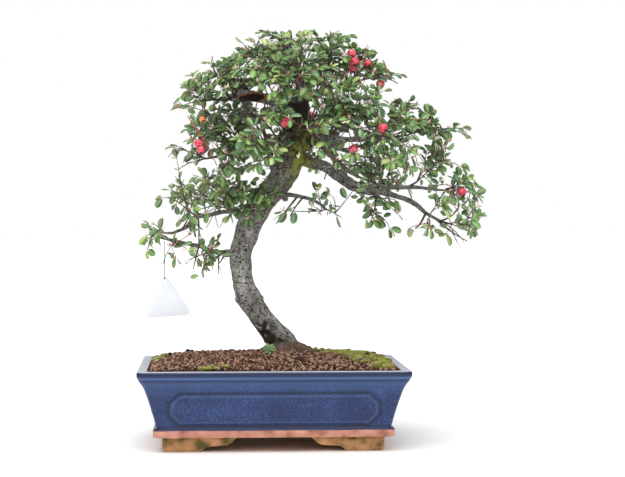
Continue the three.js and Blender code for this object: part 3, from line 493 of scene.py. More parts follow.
def ring_columns(on_long, on_short, on_corner):
    """Columns round a rounded rectangle, each as (centre x, centre y, outward x, outward y): a
    column lies at centre times (half size - radius) plus outward times radius."""
    rows = []
    bend = np.linspace(0, np.pi / 2, on_corner + 2)[1:-1, None]
    for quarter in range(4):
        turn = bend + quarter * np.pi / 2
        out = np.round([np.cos(quarter * np.pi / 2), np.sin(quarter * np.pi / 2)])
        ahead = np.array([-out[1], out[0]])
        t = np.linspace(-1, 1, on_long if quarter % 2 else on_short)[:, None]
        rows.append(np.hstack([out + ahead * t, out + 0 * t]))
        rows.append(np.hstack([out + ahead + 0 * turn, np.cos(turn), np.sin(turn)]))
    return np.vstack(rows)


def lofted(columns, half_x, half_y, radius, z):
    """Rings of the columns: one ring for each height z, with its own half sizes and radius."""
    half_x, half_y, radius, z = (np.asarray(a, float)[:, None] for a in (half_x, half_y, radius, z))
    cx, cy, nx, ny = columns.T
    x = cx * (half_x - radius) + nx * radius
    y = cy * (half_y - radius) + ny * radius
    return np.stack([x, y, z + 0 * x], axis=-1)


def panel_distance(along, z, half_length):
    """How far a wall point lies outside the panel's eight-cornered outline, in millimetres."""
    a = np.abs(along) - half_length
    b = np.abs(z - PANEL_MIDDLE) - PANEL_HALF_HEIGHT
    return np.maximum(np.maximum(a, b), (a + b + PANEL_CORNER) / np.sqrt(2))


# %% Pot body
columns = ring_columns(130, 92, 8)
outer = spline([[z, inset, 0] for z, inset in WALL], WALL_STEP)[:, :2]
profile = [[UNDERSIDE, BAND_X - s, BAND_Y - s] for s in UNDERSIDE_RINGS]
profile += [[UNDERSIDE + 0.35, BAND_X - 0.5, BAND_Y - 0.5], [UNDERSIDE + 1.2, BAND_X, BAND_Y]]
profile += [[BAND_TOP - 1.2, BAND_X, BAND_Y], [BAND_TOP - 0.4, BAND_X - 0.4, BAND_Y - 0.4]]
profile += [[BAND_TOP, BAND_X - 1.3, BAND_Y - 1.3]]
first_wall = len(profile)
profile += [[z, LIP_X - inset, LIP_Y - inset] for z, inset in [*outer, *RIM, *CAVITY]]
profile += [[FLOOR_TOP, LIP_X - s, LIP_Y - s] for s in FLOOR_RINGS]
heights, half_x, half_y = np.array(profile).T
rings = lofted(columns, half_x, half_y, np.minimum(CORNER, half_y - 0.05), heights)

on_wall = np.zeros(rings.shape[:2])
on_wall[first_wall : first_wall + len(outer)] = 1
outward = np.stack([columns[:, 2], columns[:, 3], 0 * columns[:, 2]], axis=-1)
long_side = np.abs(columns[:, 3]) > 0.999
along = np.where(long_side, rings[..., 0], rings[..., 1])
far = panel_distance(along, rings[..., 2], np.where(long_side, *PANEL_HALF_LENGTHS))
flat_side = (np.abs(columns[:, 2:]).max(axis=1) > 0.999) * on_wall
rise = np.clip(0.5 - far / PANEL_EDGE, 0, 1)
relief = PANEL_PROUD * rise * rise * (3 - 2 * rise) - GROOVE_DEPTH * bell(far - GROOVE_AT, GROOVE_WIDTH)
rings += outward * (relief * flat_side)[..., None]
rings += UNEVEN * outward * noise(rings, UNEVEN_SIZE, 5)[..., None] * on_wall[..., None]
# The glaze breaks on the panel's edge and pools in the groove
panel_marks = {
    "edge": (flat_side * bell(far + 0.5, 0.8)).ravel(),
    "pool": (flat_side * bell(far - 2.2, 1.5)).ravel(),
}
print("pot body:", rings.shape[0], "rings of", rings.shape[1], "points")

# %% [markdown]
# The feet are one low wall that follows the pot's underside. Its lower edge is a curve: it lies
# on the floor at the four corners and rises in an arch in the middle of each side.

# %% Pot feet
FOOT_X, FOOT_Y = 102.5, 68
FOOT_WALL = 11
FOOT_SUNK = 0.4  # into the pot's underside
# Half of each arch: distance from the side's middle, and height of the lower edge
FRONT_ARCH = [[0, 13.4], [30, 13.4], [34.5, 12.6], [40, 7], [44.5, 5.4], [60.5, 4.4], [64, 2.2], [66.5, 0]]
SIDE_ARCH = [[0, 13.4], [11.5, 13.4], [15, 12.6], [19, 7], [23, 5.4], [34, 4.4], [36.5, 2.2], [38, 0]]
# The foot's section: how far inside its outer face, and the share of the way down to its edge
FOOT_SECTION = [[0, 0], [0.4, 0.5], [0.8, 0.8], [1.1, 0.92], [1.9, 1], [9.6, 1], [10.3, 0.92],
                [10.7, 0.8], [11, 0.5], [11, 0]]


def foot_edge(x, y):
    """The lower edge's height over a point of the foot ring: that of the arch of its own side."""
    front = np.interp(np.abs(x), *np.array(FRONT_ARCH).T)
    side = np.interp(np.abs(y), *np.array(SIDE_ARCH).T)
    return np.where(np.abs(y) > FOOT_Y - FOOT_WALL - 1.5, front, side)


def looped_faces(rings):
    """Quads between rings, and between the last ring and the first."""
    rows, columns = rings.shape[:2]
    return grid_faces(rows + 1, columns, closed=True) % (rows * columns)


inset, way_down = np.array(FOOT_SECTION).T
foot_rings = lofted(ring_columns(150, 110, 6), FOOT_X - inset, FOOT_Y - inset,
                    np.linspace(CORNER, CORNER / 2, len(inset)), 0 * inset)
foot_top = UNDERSIDE + FOOT_SUNK
edge = foot_edge(foot_rings[..., 0], foot_rings[..., 1])
foot_rings[..., 2] = foot_top + (edge - foot_top) * way_down[:, None]
pot_shape = stacked([closed_rings(rings), (foot_rings.reshape(-1, 3), [looped_faces(foot_rings)])])
print("pot and feet:", len(pot_shape[0]), "points")

# %% [markdown]
# The glaze is glass: dark blue where it is thick and pools, paler and greyer where it breaks
# over an edge, and full of fine specks. Round the lip it carries painted shade and a painted
# highlight line, and the rim's top a painted reflection of the white surroundings. It stops in
# a line above the band, where the fired clay is bare, salmon on the band and ochre brown with an
# olive cast on the feet.

# %% Glaze and bare clay
# Where the glaze is darker or paler, as a mark or as heights in mm, how much, and the colour; the rows at the
# lip and the rim are painted shade, highlight and reflection
GLAZE_TINTS_AND_PAINTED_LIGHT = [
    [(50, 64), 0.5, (66, 94, 142)],
    ["pool", 0.8, (14, 22, 48)],
    ["edge", 0.22, (110, 134, 178)],
    # painted shade on the lip's face
    [(69.8, 71.2), 0.8, (20, 27, 52)],
    # painted shadow under the lip
    [(64.8, 66.2, 67.4, 68.4), 0.6, (22, 32, 66)],
    # painted highlight: a pale line on the lip
    [(68.0, 68.9, 69.5, 70.4), 0.5, (84, 112, 160)],
    # painted reflection of the white surroundings on the rim's top
    [(74.7, 75.3), 0.9, (206, 210, 226)],
    [(25.6, 22.6), 0.7, (26, 36, 68)],
]
GLAZE_SHINE, CLAY_SHINE = 0.16, 0.55  # roughness, and how much more the bare clay has
glaze = Finish("blue_glaze_and_clay", 0.2, specular=0.3, coat=0.12, coat_roughness=0.05)
clouds = glaze.blend(glaze.noise(26, 3), 0.28, glaze.noise(1.2, 2), 0.72)
blue = glaze.steps(clouds, (0.34, 16, 29, 66), (0.46, 30, 46, 90), (0.56, 40, 60, 106), (0.68, 64, 90, 142))
for where, amount, tint in GLAZE_TINTS_AND_PAINTED_LIGHT:
    mask = glaze.mark(where) if isinstance(where, str) else glaze.zone(*where)
    blue = glaze.tinted(blue, (mask, amount, tint))
clay_cloud = glaze.noise(16, 5)
band = glaze.steps(clay_cloud, (0.34, 128, 78, 62), (0.47, 182, 122, 104), (0.66, 204, 148, 130))
foot = glaze.steps(clay_cloud, (0.36, 102, 90, 44), (0.46, 184, 140, 92), (0.58, 222, 168, 122),
                   (0.7, 238, 196, 158))
clay = glaze.mix(glaze.zone(15.8, 12.8), band, foot)
glaze_line = glaze.clamped("ADD", glaze.height(), glaze.times(glaze.noise(14, 2), 0.9 * MM))
bare = glaze.between(glaze_line, 21.3 * MM, 20.7 * MM)
shine = glaze.clamped("ADD", glaze.times(bare, CLAY_SHINE), GLAZE_SHINE)
pot_finish = glaze.done(glaze.mix(bare, blue, clay), glaze.bump(glaze.noise(2.2, 2), 0.05, 0.5), shine)

pot = piece("glazed_pot", pot_shape, [pot_finish], "glazed_pot", ["pot"], marks=panel_marks)

# %% [markdown]
# Two round holes let water out of the floor. A boolean cut leaves clean edges, and it is
# applied at once, so that the pot stays a plain mesh. Over each hole the solid model already
# has a plastic mesh screen, which only needs its finish.

# %% Drain holes
DRAIN_X, DRAIN_RADIUS = 50, 8
drills = []
for x in (-DRAIN_X, DRAIN_X):
    drill = shaped("drill", *tubes([[[x, 0, z] for z in (8, 19, 30)]], DRAIN_RADIUS, 32))
    cut = pot.modifiers.new("drain", "BOOLEAN")
    cut.operation = "DIFFERENCE"
    cut.object = drill
    drills.append(drill)
drilled = with_modifiers(pot)
pot.modifiers.clear()
pot.data = drilled
for drill in drills:
    bpy.data.objects.remove(drill)
print("pot has", len(pot.data.polygons), "faces")

mesh_wire = Finish("drain_mesh_plastic", 0.5)
dust = mesh_wire.noise(2.5, 3)
screen_finish = mesh_wire.done(mesh_wire.mix(dust, (38, 42, 38), (74, 78, 68)), mesh_wire.bump(dust, 0.08))
for side in ("left", "right"):
    worn = bpy.data.objects[f"drain_screen_{side}"].data.materials
    worn.clear()
    worn.append(screen_finish)

# %% [markdown]
# ## Hanging tag
#
# A blank card triangle hangs on a thin brown thread from the lowest branch on the left. The thread
# is the one free cord, and its route is given below. The card is a closed ring of quads from the
# punched hole out to the rounded outline, on both faces.

# %% Thread
THREAD_X, THREAD_Y = -101, -16.5
THREAD_ROUTE = [[0, 192.4], [0, 180.4], [0, 168.4], [0, 163], [-0.96, 160], [-1.5, 157.5],
                [-0.9, 156.1], [0, 155.9], [1.4, 155.7]]
THREAD_DIAMETER = 0.8

thread_line = spline([[THREAD_X, THREAD_Y + dy, z] for dy, z in THREAD_ROUTE], 0.5)
fibre = Finish("cotton_thread", 0.85, specular=0.2)
twist = fibre.noise(0.5, 1, (1, 1, 0.35))
fibre_finish = fibre.done(fibre.mix(twist, (74, 66, 60), (116, 106, 98)), fibre.bump(twist, 0.1))
thread = piece("swing_thread", tubes(thread_line[None], THREAD_DIAMETER / 2, 10), [fibre_finish],
               "thread", ["tag_thread"])

# %% Card
TAG_CORNERS = [[0, 0], [24, -41], [-24, -41]]
TAG_ROUNDING = 8
TAG_HOLE = 1.6
TAG_HOLE_BELOW = 7
TAG_HOLE_Z = 155
TAG_THICKNESS, TAG_CHAMFER = 0.9, 0.15
TAG_TURN = np.radians(4.5)


def rounded_outline(corners, cut, steps):
    """The outline with each corner replaced by a quadratic arc that starts cut mm before it."""
    corners = np.array(corners, float)
    rows = []
    for here, before, after in zip(corners, np.roll(corners, 1, axis=0), np.roll(corners, -1, axis=0)):
        end = here + unit(after - here) * cut
        rows.append(arc(here + unit(before - here) * cut, here, end, steps))
        rows.append(end + (after + unit(here - after) * cut - end) * np.linspace(0, 1, steps)[1:-1, None])
    return np.vstack(rows)


outline = rounded_outline(TAG_CORNERS, TAG_ROUNDING, 8) + [0, TAG_HOLE_BELOW]
hole = TAG_HOLE * unit(outline)
half = TAG_THICKNESS / 2
side = TAG_CHAMFER - half
loops = [(hole, side), (hole * 1.1, -half), (outline * 0.99, -half), (outline, side)]
loops += [(ring, -y) for ring, y in loops[::-1]]
flat = np.stack([np.column_stack([ring[:, 0], np.full(len(ring), y), ring[:, 1]]) for ring, y in loops])
c, s = np.cos(TAG_TURN), np.sin(TAG_TURN)
card_rings = flat @ np.array([[c, 0, s], [0, 1, 0], [-s, 0, c]]) + [THREAD_X, THREAD_Y, TAG_HOLE_Z]
card = Finish("white_card", 0.55, specular=0.3)
paper_grain = card.noise(0.7, 3)
card_colour = card.mix(paper_grain, (228, 232, 239), (238, 241, 246))
tag = piece("swing_tag", (card_rings.reshape(-1, 3), [looped_faces(card_rings)]),
            [card.done(card_colour, card.bump(paper_grain, 0.03))], "tag_card", ["tag"])
print("card:", len(outline), "points round its outline")

# %% [markdown]
# ## Soil
#
# The pot is filled past its rim with fired clay granules, heaped up to the trunk. Underneath is
# one closed body for the fill. On it lie thousands of lumps: a cube cut once and rounded has
# only 24 faces, which is enough for something 4 mm wide once chance has dented and turned it.

# %% Soil body
SOIL_X, SOIL_Y = 115, 84
SOIL_EDGE, MOUND, TRUNK_MOUND, TRUNK_SPREAD = 75, 9, 4, 22
SOIL_SUNK, SOIL_ROUGH = 1.4, 0.8  # of the body's top under the granules
SOIL_GAP = 0.6  # between the body and the pot's wall
SOIL_BOTTOM = FLOOR_TOP + 0.4


def rough(points, size, seed):
    """Noise, half as much noise at half the size, and a quarter as much at a quarter of it."""
    return sum(noise(points, size / 2**o, seed + o) / 2**o for o in range(3))


def soil_height(x, y):
    """75 + 9 (1 - |x/115.5|^5)(1 - |y/84.5|^3), and 4 mm more round the trunk as a bell curve."""
    mound = (1 - np.abs(x / 115.5) ** 5) * (1 - np.abs(y / 84.5) ** 3)
    round_trunk = bell(np.hypot(x - 11.1, y - 1), TRUNK_SPREAD * np.sqrt(2))
    return SOIL_EDGE + MOUND * mound + TRUNK_MOUND * round_trunk


soil_columns = ring_columns(44, 32, 3)
share = np.concatenate([[0.002], np.linspace(0.02, 1, 26)])
top = lofted(soil_columns, SOIL_X * share, SOIL_Y * share, CORNER * share * 0.6, 0 * share)
top[..., 2] = soil_height(top[..., 0], top[..., 1]) - SOIL_SUNK + SOIL_ROUGH * rough(top, 9, 3)
wall_z, wall_in = np.array([[z, inset + SOIL_GAP] for z, inset in CAVITY[:5]] + [[SOIL_BOTTOM, 27]]).T
wall = lofted(soil_columns, LIP_X - wall_in, LIP_Y - wall_in, 3 + 0 * wall_z, wall_z)
bottom = lofted(soil_columns, [40, 0.2], [40, 0.2], [2, 0.1], [SOIL_BOTTOM, SOIL_BOTTOM])
soil_points, soil_faces = closed_rings(np.concatenate([top, wall, bottom]))
soil_body = soil_points, [f[:, ::-1] for f in soil_faces]
print("soil body:", len(soil_points), "points")


# %% Granule helpers
def lump_shape():
    """The 26 points and 24 quads of a cube cut once in each direction and blown up to a ball."""
    points = [p for p in np.ndindex(3, 3, 3) if p != (1, 1, 1)]
    index = {p: i for i, p in enumerate(points)}
    faces = []
    for axis, end, a, b in np.ndindex(3, 2, 2, 2):
        corners = [(a, b), (a + 1, b), (a + 1, b + 1), (a, b + 1)]
        face = [index[tuple(np.insert(corner, axis, 2 * end))] for corner in corners]
        faces.append(face if end != (axis == 1) else face[::-1])
    return unit(np.array(points) - 1.0), np.array(faces)


def turned(points, seeds):
    """Points turned by chance: one frame of three directions at right angles for each seed."""
    first = unit(chances(seeds, 7))
    second = unit(np.cross(first, unit(chances(seeds, 11))))
    return points @ np.stack([first, second, np.cross(first, second)], axis=1)


def scattered(half_x, half_y, step, seed):
    """Places on a grid of this step, every second row shifted, each moved by chance."""
    along_x, along_y = np.arange(2 - half_x, half_x - 1, step), np.arange(2 - half_y, half_y - 1, step * 0.87)
    x, y = np.meshgrid(along_x, along_y)
    x = x + (np.arange(len(x)) % 2)[:, None] * step / 2
    seeds = np.arange(x.size).reshape(x.shape) + seed
    x = x + (chance(seeds, 1, 2) - 0.5) * step * 0.8
    y = y + (chance(seeds, 3, 4) - 0.5) * step * 0.8
    return np.column_stack([x.ravel(), y.ravel()])


ball, ball_faces = lump_shape()
print("a lump has", len(ball), "points and", len(ball_faces), "faces")

# %% [markdown]
# The granules lie on a grid that chance has shaken, one beside the other over the whole mound.
# Most are small. The first few are given places and sizes of their own.

# %% Granules
GRAIN_STEP = 3.35
# Larger dark lumps that stand out against the light behind them: x, y, radius
LUMPS = np.array([
    [-80, 40, 2.7], [-76, 37, 2.0], [-37, 38, 2.4], [77, 40, 2.8], [95, 38, 3.2], [101, 34, 3.0],
    [98, 31, 2.6], [34, 38, 3.4], [38, 35, 3.0], [44.5, 34, 3.6], [51, 36, 3.4], [57, 33, 3.0],
    [47, 29, 2.8], [90, -12, 2.8], [26, -58, 2.4], [22, -54, 2.2], [-97, 24, 2.4],
])
PEBBLE = (-108, -8, 2.4)  # one pale pebble at the left end
# the body under the granules is dark: painted shade in the gaps between them
PAINTED_GAP_SHADE_TONE, LUMP_TONE, PEBBLE_TONE = 0.1, 0, 1.3
LUMPS_RISE = 0.9

spots = scattered(SOIL_X, SOIL_Y, GRAIN_STEP, 100)
grain_radius = 1.0 + 0.85 * chance(np.arange(len(spots)), 5, 9) ** 1.6
inside = np.all(np.abs(spots) < [SOIL_X, SOIL_Y] - grain_radius[:, None], axis=1)
spots, grain_radius = spots[inside], grain_radius[inside]
lumps = np.vstack([LUMPS, PEBBLE])
spots[: len(lumps)], grain_radius[: len(lumps)] = lumps[:, :2], lumps[:, 2]
seeds = np.arange(len(spots))
squash = 0.97 + 0.5 * chances(seeds, 21)
dents = 1 + 0.22 * (chance(seeds[:, None], np.arange(len(ball)), 31) - 0.5)
grains = turned(ball * squash[:, None] * dents[..., None], seeds) * grain_radius[:, None, None]
lift = soil_height(*spots.T) - 0.2 + 1.5 * chance(seeds, 2, 41) ** 2
lift[: len(lumps)] += LUMPS_RISE
grains += np.column_stack([spots, lift])[:, None]
own_tone = chance(seeds, 8, 51)
own_tone[: len(LUMPS)] = LUMP_TONE
own_tone[len(LUMPS)] = PEBBLE_TONE
grain_faces = repeated(ball_faces, len(spots), len(ball))
soil_shape = stacked([soil_body, (grains.reshape(-1, 3), [grain_faces])])
soil_tone = np.concatenate([np.full(len(soil_points), PAINTED_GAP_SHADE_TONE), np.repeat(own_tone, len(ball))])
print("soil:", len(spots), "granules")

# %% [markdown]
# Fired clay is matt and a little dusty. Each lump takes its own brown from the tone written on
# its points, and fine noise breaks that colour up. The body under the lumps takes a dark tone,
# painted shade in the gaps between them.

# %% Soil finish
clay_bits = Finish("clay_granules", 0.92, specular=0.15)
fine = clay_bits.noise(1.1, 4)
soil_colour = clay_bits.steps(clay_bits.blend(clay_bits.mark("tone"), 0.72, fine, 0.3),
                              (0.14, 50, 34, 29), (0.36, 108, 76, 61), (0.54, 144, 108, 88),
                              (0.72, 176, 144, 122), (0.84, 116, 100, 90), (0.95, 222, 200, 188))
soil_finish = clay_bits.done(soil_colour, clay_bits.bump(fine, 0.3))
piece("granular_soil", soil_shape, [soil_finish], "soil", ["soil"], marks={"tone": soil_tone})

# %% [markdown]
# ## Moss
#
# Moss grows where the soil stays damp: a broad patch behind on the right, a strip at the left
# end, and a tuft at the front edge. It is low cushions set with thousands of short pointed
# shoots, each a three-sided spike.

# %% Moss shapes
# Middle x and y, half width and half depth of each patch, and how many cushions it has
MOSS_PATCHES = [
    (78, 42, 22, 22, 28), (92, 4, 20, 34, 40), (90, -42, 19, 22, 30), (66, 4, 13, 28, 20),
    (100, -64, 9, 10, 11), (47, 22, 11, 12, 9), (-104, 20, 9, 28, 16), (-54, -77, 16, 5, 9),
]
SHOOTS_EACH = 57
SPIKE = [0, 0, 0, 1, 1, 1, 0, 1]  # for each point of a spike, whether it is up at the tip


def cushions(patches):
    """A row (x, y, z, radius, height) for each cushion, inside an ellipse round its patch's middle."""
    rows = []
    for number, (x, y, wide, deep, count) in enumerate(patches):
        k = np.arange(count) + 200 * number
        turn, out = 2 * np.pi * chance(k, 1, 61), np.sqrt(chance(k, 2, 62))
        size = (2.6 + 3.6 * chance(k, 3, 63)) * min(1, deep / 12 + 0.2)
        cx = np.clip(x + wide * out * np.cos(turn), -SOIL_X + 5, SOIL_X - 5)
        cy = np.clip(y + deep * out * np.sin(turn), -SOIL_Y + 4, SOIL_Y - 5)
        rows.append(np.column_stack([cx, cy, soil_height(cx, cy) - 0.2, size, 0.35 * size + 0.5]))
    return np.vstack(rows)


beds = cushions(MOSS_PATCHES)
half_sizes = beds[:, [3, 3, 4]]
domes = ball * half_sizes[:, None] + beds[:, None, :3]
k = np.arange(len(beds) * SHOOTS_EACH)
turn, out = 2 * np.pi * chance(k, 4, 71), np.sqrt(chance(k, 5, 72)) * 0.98
on_ball = np.column_stack([out * np.cos(turn), out * np.sin(turn), np.sqrt(1 - out**2)])
bed = k // SHOOTS_EACH
foot = beds[bed, :3] + on_ball * half_sizes[bed] - [0, 0, 0.3]
sideways = [chance(k, 6, 73) - 0.5, chance(k, 7, 74) - 0.5, 0 * k]
lean = unit(on_ball * [1, 1, 0] + 0.9 * np.column_stack(sideways) + [0, 0, 0.9])
tip = foot + lean * (0.9 + 1.3 * chance(k, 8, 75))[:, None]
spikes = tubes(np.stack([foot, tip], axis=1), [0.34, 0.09], 3)
dome_faces = repeated(ball_faces, len(beds), len(ball))
moss_shape = stacked([(domes.reshape(-1, 3), [dome_faces]), spikes])
bed_tone, shoot_tone = chance(np.arange(len(beds)), 9, 76), chance(k, 9, 77)
moss_marks = {
    "height": np.concatenate([np.zeros(domes.size // 3), np.tile(SPIKE, len(k))]),
    "tone": np.concatenate([np.repeat(bed_tone, len(ball)), np.repeat(shoot_tone, len(SPIKE))]),
}
print("moss:", len(beds), "cushions and", len(k), "shoots")

# %% [markdown]
# A spike is darker at its foot, and the cushion under the spikes is dark too: painted shade,
# which makes a cushion look deep. The tone on the points and a broad noise make whole patches
# paler or greener.

# %% Moss finish
moss = Finish("moss", 0.9, specular=0.15)
patchy = moss.blend(moss.mark("tone"), 0.6, moss.noise(9, 2), 0.4)
moss_light = moss.steps(patchy, (0.25, 136, 142, 58), (0.5, 192, 200, 98), (0.75, 232, 232, 152))
# Painted shade: the cushions and the feet of the spikes take the dark colour, the tips the pale one.
moss_finish = moss.done(moss.mix(moss.mark("height"), (104, 108, 46), moss_light))
piece("moss", moss_shape, [moss_finish], "leaf", marks=moss_marks)

# %% [markdown]
# ## Wood
#
# The trunk, its roots and its limbs are tubes of changing thickness along curves. Remeshing
# melts the tubes into one skin, as a living tree has, and noise pushes that skin in and out
# for ridges, pits and old scars. The thin outer ends of the limbs stay plain tubes.

# %% Tables of the tree: rows of x, y, z, radius
TRUNK = [
    [15, 2, 58, 13], [13.5, 2, 76, 16], [11.1, 1, 91.6, 15], [6.4, 0, 99.3, 12.6],
    [-3.2, -1, 110.7, 11.4], [-12.7, -2, 124.1, 11.2], [-20.4, -2, 135.6, 11.8],
    [-25.6, -2, 148, 10.5], [-28.5, -2, 163.2, 10.3], [-29.2, -1, 178, 10.9],
    [-26.1, 0, 191.9, 11.3], [-18.9, 0, 211.9, 12], [-9.5, 0, 227, 12], [3.5, 0, 243.4, 12],
    [14.5, 0, 260, 12.4], [20.5, 0, 280, 13.4], [24.6, 0, 302, 12.6], [27.4, 0, 321.7, 8.5],
    [28.3, 0, 338, 4.4], [26, 0, 352, 3], [21, 0, 366, 2],
]
ROOTS = [
    [[14, 2, 90, 8], [30, -3, 88.5, 5.5], [42, -6, 82, 3.2], [50, -8, 72, 2]],
    [[10, 2, 89, 8], [-6, -3, 87, 4.5], [-16, -6, 80, 2.6], [-24, -8, 70, 2]],
    [[12, 0, 89, 8], [9, -16, 86, 4.2], [8, -26, 78, 2.4], [8, -34, 68, 2]],
    [[14, 4, 89, 8], [20, 18, 86, 4.2], [24, 28, 78, 2.4], [28, 36, 68, 2]],
    [[10, 4, 89, 8], [-2, 16, 86, 4], [-10, 24, 78, 2.4], [-16, 30, 68, 2]],
]
LIMBS = {
    "low_left": [[-27, -2, 180, 3], [-41, -5, 181.5, 2.6], [-53, -8, 181, 2.3], [-67, -11, 186.5, 2],
                 [-81, -14, 190, 1.8], [-95.5, -16, 193, 1.6], [-103.5, -17, 195.2, 1.3]],
    "mid_left": [[-20, -2, 216, 2.8], [-31, -10, 218.5, 2.3], [-46, -17, 219.5, 2.1],
                 [-62, -24, 215.8, 2.1], [-72, -28, 214.8, 2.4], [-81, -31, 205, 1.7],
                 [-93, -36, 200, 1.2]],
    "right": [[20, 0, 275, 6.5], [34, -4, 268, 5.8], [52, -8, 262, 5.5], [76, -16, 245, 5],
              [90, -20, 240.5, 4.3], [104, -23, 239, 3.7], [131, -29, 229, 2.4], [145, -31, 218, 1.8],
              [157, -33, 211, 1.3]],
    "right_fork": [[92, -20, 241, 3.2], [112, -14, 243, 2.5], [134, -6, 243, 1.9], [156, 0, 241, 1.3]],
    "right_inner": [[26, 4, 296, 4.8], [40, 10, 290, 4.2], [56, 14, 276, 3.6], [70, 20, 264, 2.7],
                    [86, 30, 254, 1.7]],
    "right_upper": [[26, 2, 300, 4.4], [46, 8, 292, 3.6], [88, 18, 290, 2.7], [104, 20, 293, 2],
                    [121, 22, 292.5, 1.5]],
    "low_right": [[8, -4, 236, 2.6], [22, -20, 235, 2], [36, -29, 231, 1.6], [46, -35, 226, 1.2]],
    "left": [[18, -2, 286, 3.8], [0, -8, 286, 3.2], [-14, -14, 283, 2.7], [-32, -18, 276, 2.1],
             [-50, -21, 272, 1.5]],
    "back_left": [[-22, 2, 204, 3.8], [-28, 24, 216, 3], [-40, 46, 226, 2.2], [-54, 66, 232, 1.5]],
    "back": [[8, 2, 250, 4.2], [13, 26, 260, 3.2], [20, 52, 269, 2.3], [25, 72, 274, 1.5]],
    "back_right": [[22, 4, 286, 4.4], [40, 30, 288, 3.3], [64, 54, 284, 2.4], [86, 70, 277, 1.5]],
    "front": [[20, -2, 282, 4.2], [17, -26, 285, 3.2], [11, -52, 284, 2.2], [5, -70, 280, 1.5]],
    "front_right": [[24, -2, 300, 4], [42, -24, 303, 3.2], [64, -46, 300, 2.3], [84, -60, 293, 1.5]],
    "upper_left": [[26, 0, 317, 4], [6, -8, 324, 3.1], [-16, -13, 328, 2.3], [-38, -16, 326, 1.5]],
    "upper_right": [[28, 0, 324, 3.8], [46, -5, 334, 2.8], [64, -8, 340, 2], [76, -8, 342, 1.5]],
    "upper_back": [[28, 2, 320, 3.6], [23, 22, 332, 2.6], [14, 42, 339, 1.6]],
    "upper_front": [[28, -2, 328, 3.6], [26, -24, 339, 2.5], [20, -44, 344, 1.6]],
    "high_back_left": [[22, 3, 304, 3.8], [-4, 24, 309, 2.8], [-30, 42, 309, 1.7]],
    "leader": TRUNK[-5:],
}
SAWN_LIMB = [[24, -4, 316, 5.6], [4, -16, 324, 5.4], [-12, -21, 327.5, 5.2], [-32, -26, 330, 4.8]]
# Swellings of the trunk
KNOBS = [
    [-31, -4, 136.5, 4.6], [-10.5, -6, 137.5, 3.6], [-3, -8, 99, 5.5], [-36, 0, 178, 4],
    [2, -9, 262, 4.5], [34, -4, 283, 5.5], [12, -8, 292, 6], [36, -2, 306, 5.5], [22, -8, 312, 6],
    [26, 2, 90, 6], [13, -6, 232, 3.5],
]
print("the tree has", len(LIMBS), "limbs and", len(ROOTS), "roots")

# %% [markdown]
# Each thick tube goes into the melt, and each thin one is kept for later. Both stretches overlap
# where a limb thins out, and each narrows there, so that the rod slips into the skin.

# %% Wood skin
THICK = 2.2  # limbs are melted into the skin down to about this radius
SWAY, SWAY_SIZE = 0.9, 14  # old wood wanders: each limb's line swings by up to a millimetre
VOXEL = 1.0
RELAXED = 3

skins = [tube_of(spline(TRUNK, 2), 28), tube_of(spline(SAWN_LIMB, 1.5), 20)]
skins += [tube_of(spline(root, 1.5), 16) for root in ROOTS]
slender = []
for name, rows in LIMBS.items():
    limb = spline(rows, 1.5)
    sway = np.stack([noise(limb[:, :3], SWAY_SIZE, 80 + axis) for axis in range(3)], axis=-1)
    limb[:, :3] += SWAY * sway * np.clip(np.arange(len(limb)) / 8, 0, 1)[:, None]
    if name == "leader":
        slender.append(limb)
        continue
    thick = limb[limb[:, 3] >= THICK - 0.4]
    thick[:, 3] *= np.interp(thick[:, 3], [THICK - 0.4, THICK + 0.3], [0.6, 1])
    if len(thick) > 3:
        skins.append(tube_of(thick, 12))
    thin = limb[limb[:, 3] < THICK + 0.9]
    thin[:, 3] *= np.interp(thin[:, 3], [THICK + 0.2, THICK + 0.8], [1, 0.7])
    slender.append(thin)
for x, y, z, radius in KNOBS:
    dents = 1 + 0.15 * (chance(np.arange(len(ball)), x, z) - 0.5)
    skins.append((ball * radius * dents[:, None] + [x, y, z], [ball_faces]))

lump = shaped("lump", *stacked(skins))
melt = lump.modifiers.new("melt", "REMESH")
melt.mode = "VOXEL"
melt.voxel_size = VOXEL * MM
relax = lump.modifiers.new("relax", "SMOOTH")
relax.iterations = RELAXED
melted = with_modifiers(lump)
bpy.data.objects.remove(lump)


def read(rows, name, kind, each):
    """One property of all these vertices or corners: an array with each numbers in a row."""
    values = np.empty(len(rows) * each, kind)
    rows.foreach_get(name, values)
    return values.reshape(-1, each)


skin = (read(melted.vertices, "co", np.float32, 3) - HOME) / MM
skin_quads = read(melted.loops, "vertex_index", np.int32, 1).reshape(-1, 4)
normals = read(melted.vertex_normals, "vector", np.float32, 3)
print("wood skin:", len(skin), "points")

# %% [markdown]
# The bark's relief is worked out point by point. Broad noise gives the uneven swelling of old
# wood, fine noise its roughness. A few places get their own marks: the flat saw cut, an old
# scar low on the trunk, the gnarled place where the limbs meet, which is painted dark as shade
# under the crown, and the green side.

# %% Bark relief
SCAR = [-8, -12, 108]
CUT_Y = -24
CUT_X = (-36, -3)
CUT_Z = 327
CUT_HALF_LENGTH, CUT_HALF_HEIGHT, CUT_SLOPE, CUT_HOLLOW = 14.5, 4.6, 0.1, 2.2


def near(points, middle, reach):
    """A bell curve round a point: exp(-(distance / reach)^2), with a reach for each axis."""
    return np.exp(-(((points - middle) / reach) ** 2).sum(axis=1))


old_wood = np.clip((skin[:, 2] - 84) / 10, 0.3, 1)
ridges = np.abs(noise(skin * [1, 1, 0.45], 4.5, 14))
pits = np.clip(noise(skin * [1, 1, 1.5], 2.1, 15) - 0.42, 0, 1)
scar = near(skin, SCAR, [9, 10, 10]) * np.clip(0.75 + 1.5 * noise(skin, 3.4, 19), 0, 1)
streak = near(skin, [2, -10, 98], [12, 9, 4.5]) * np.clip(0.6 + 1.2 * noise(skin, 4, 20), 0, 1)
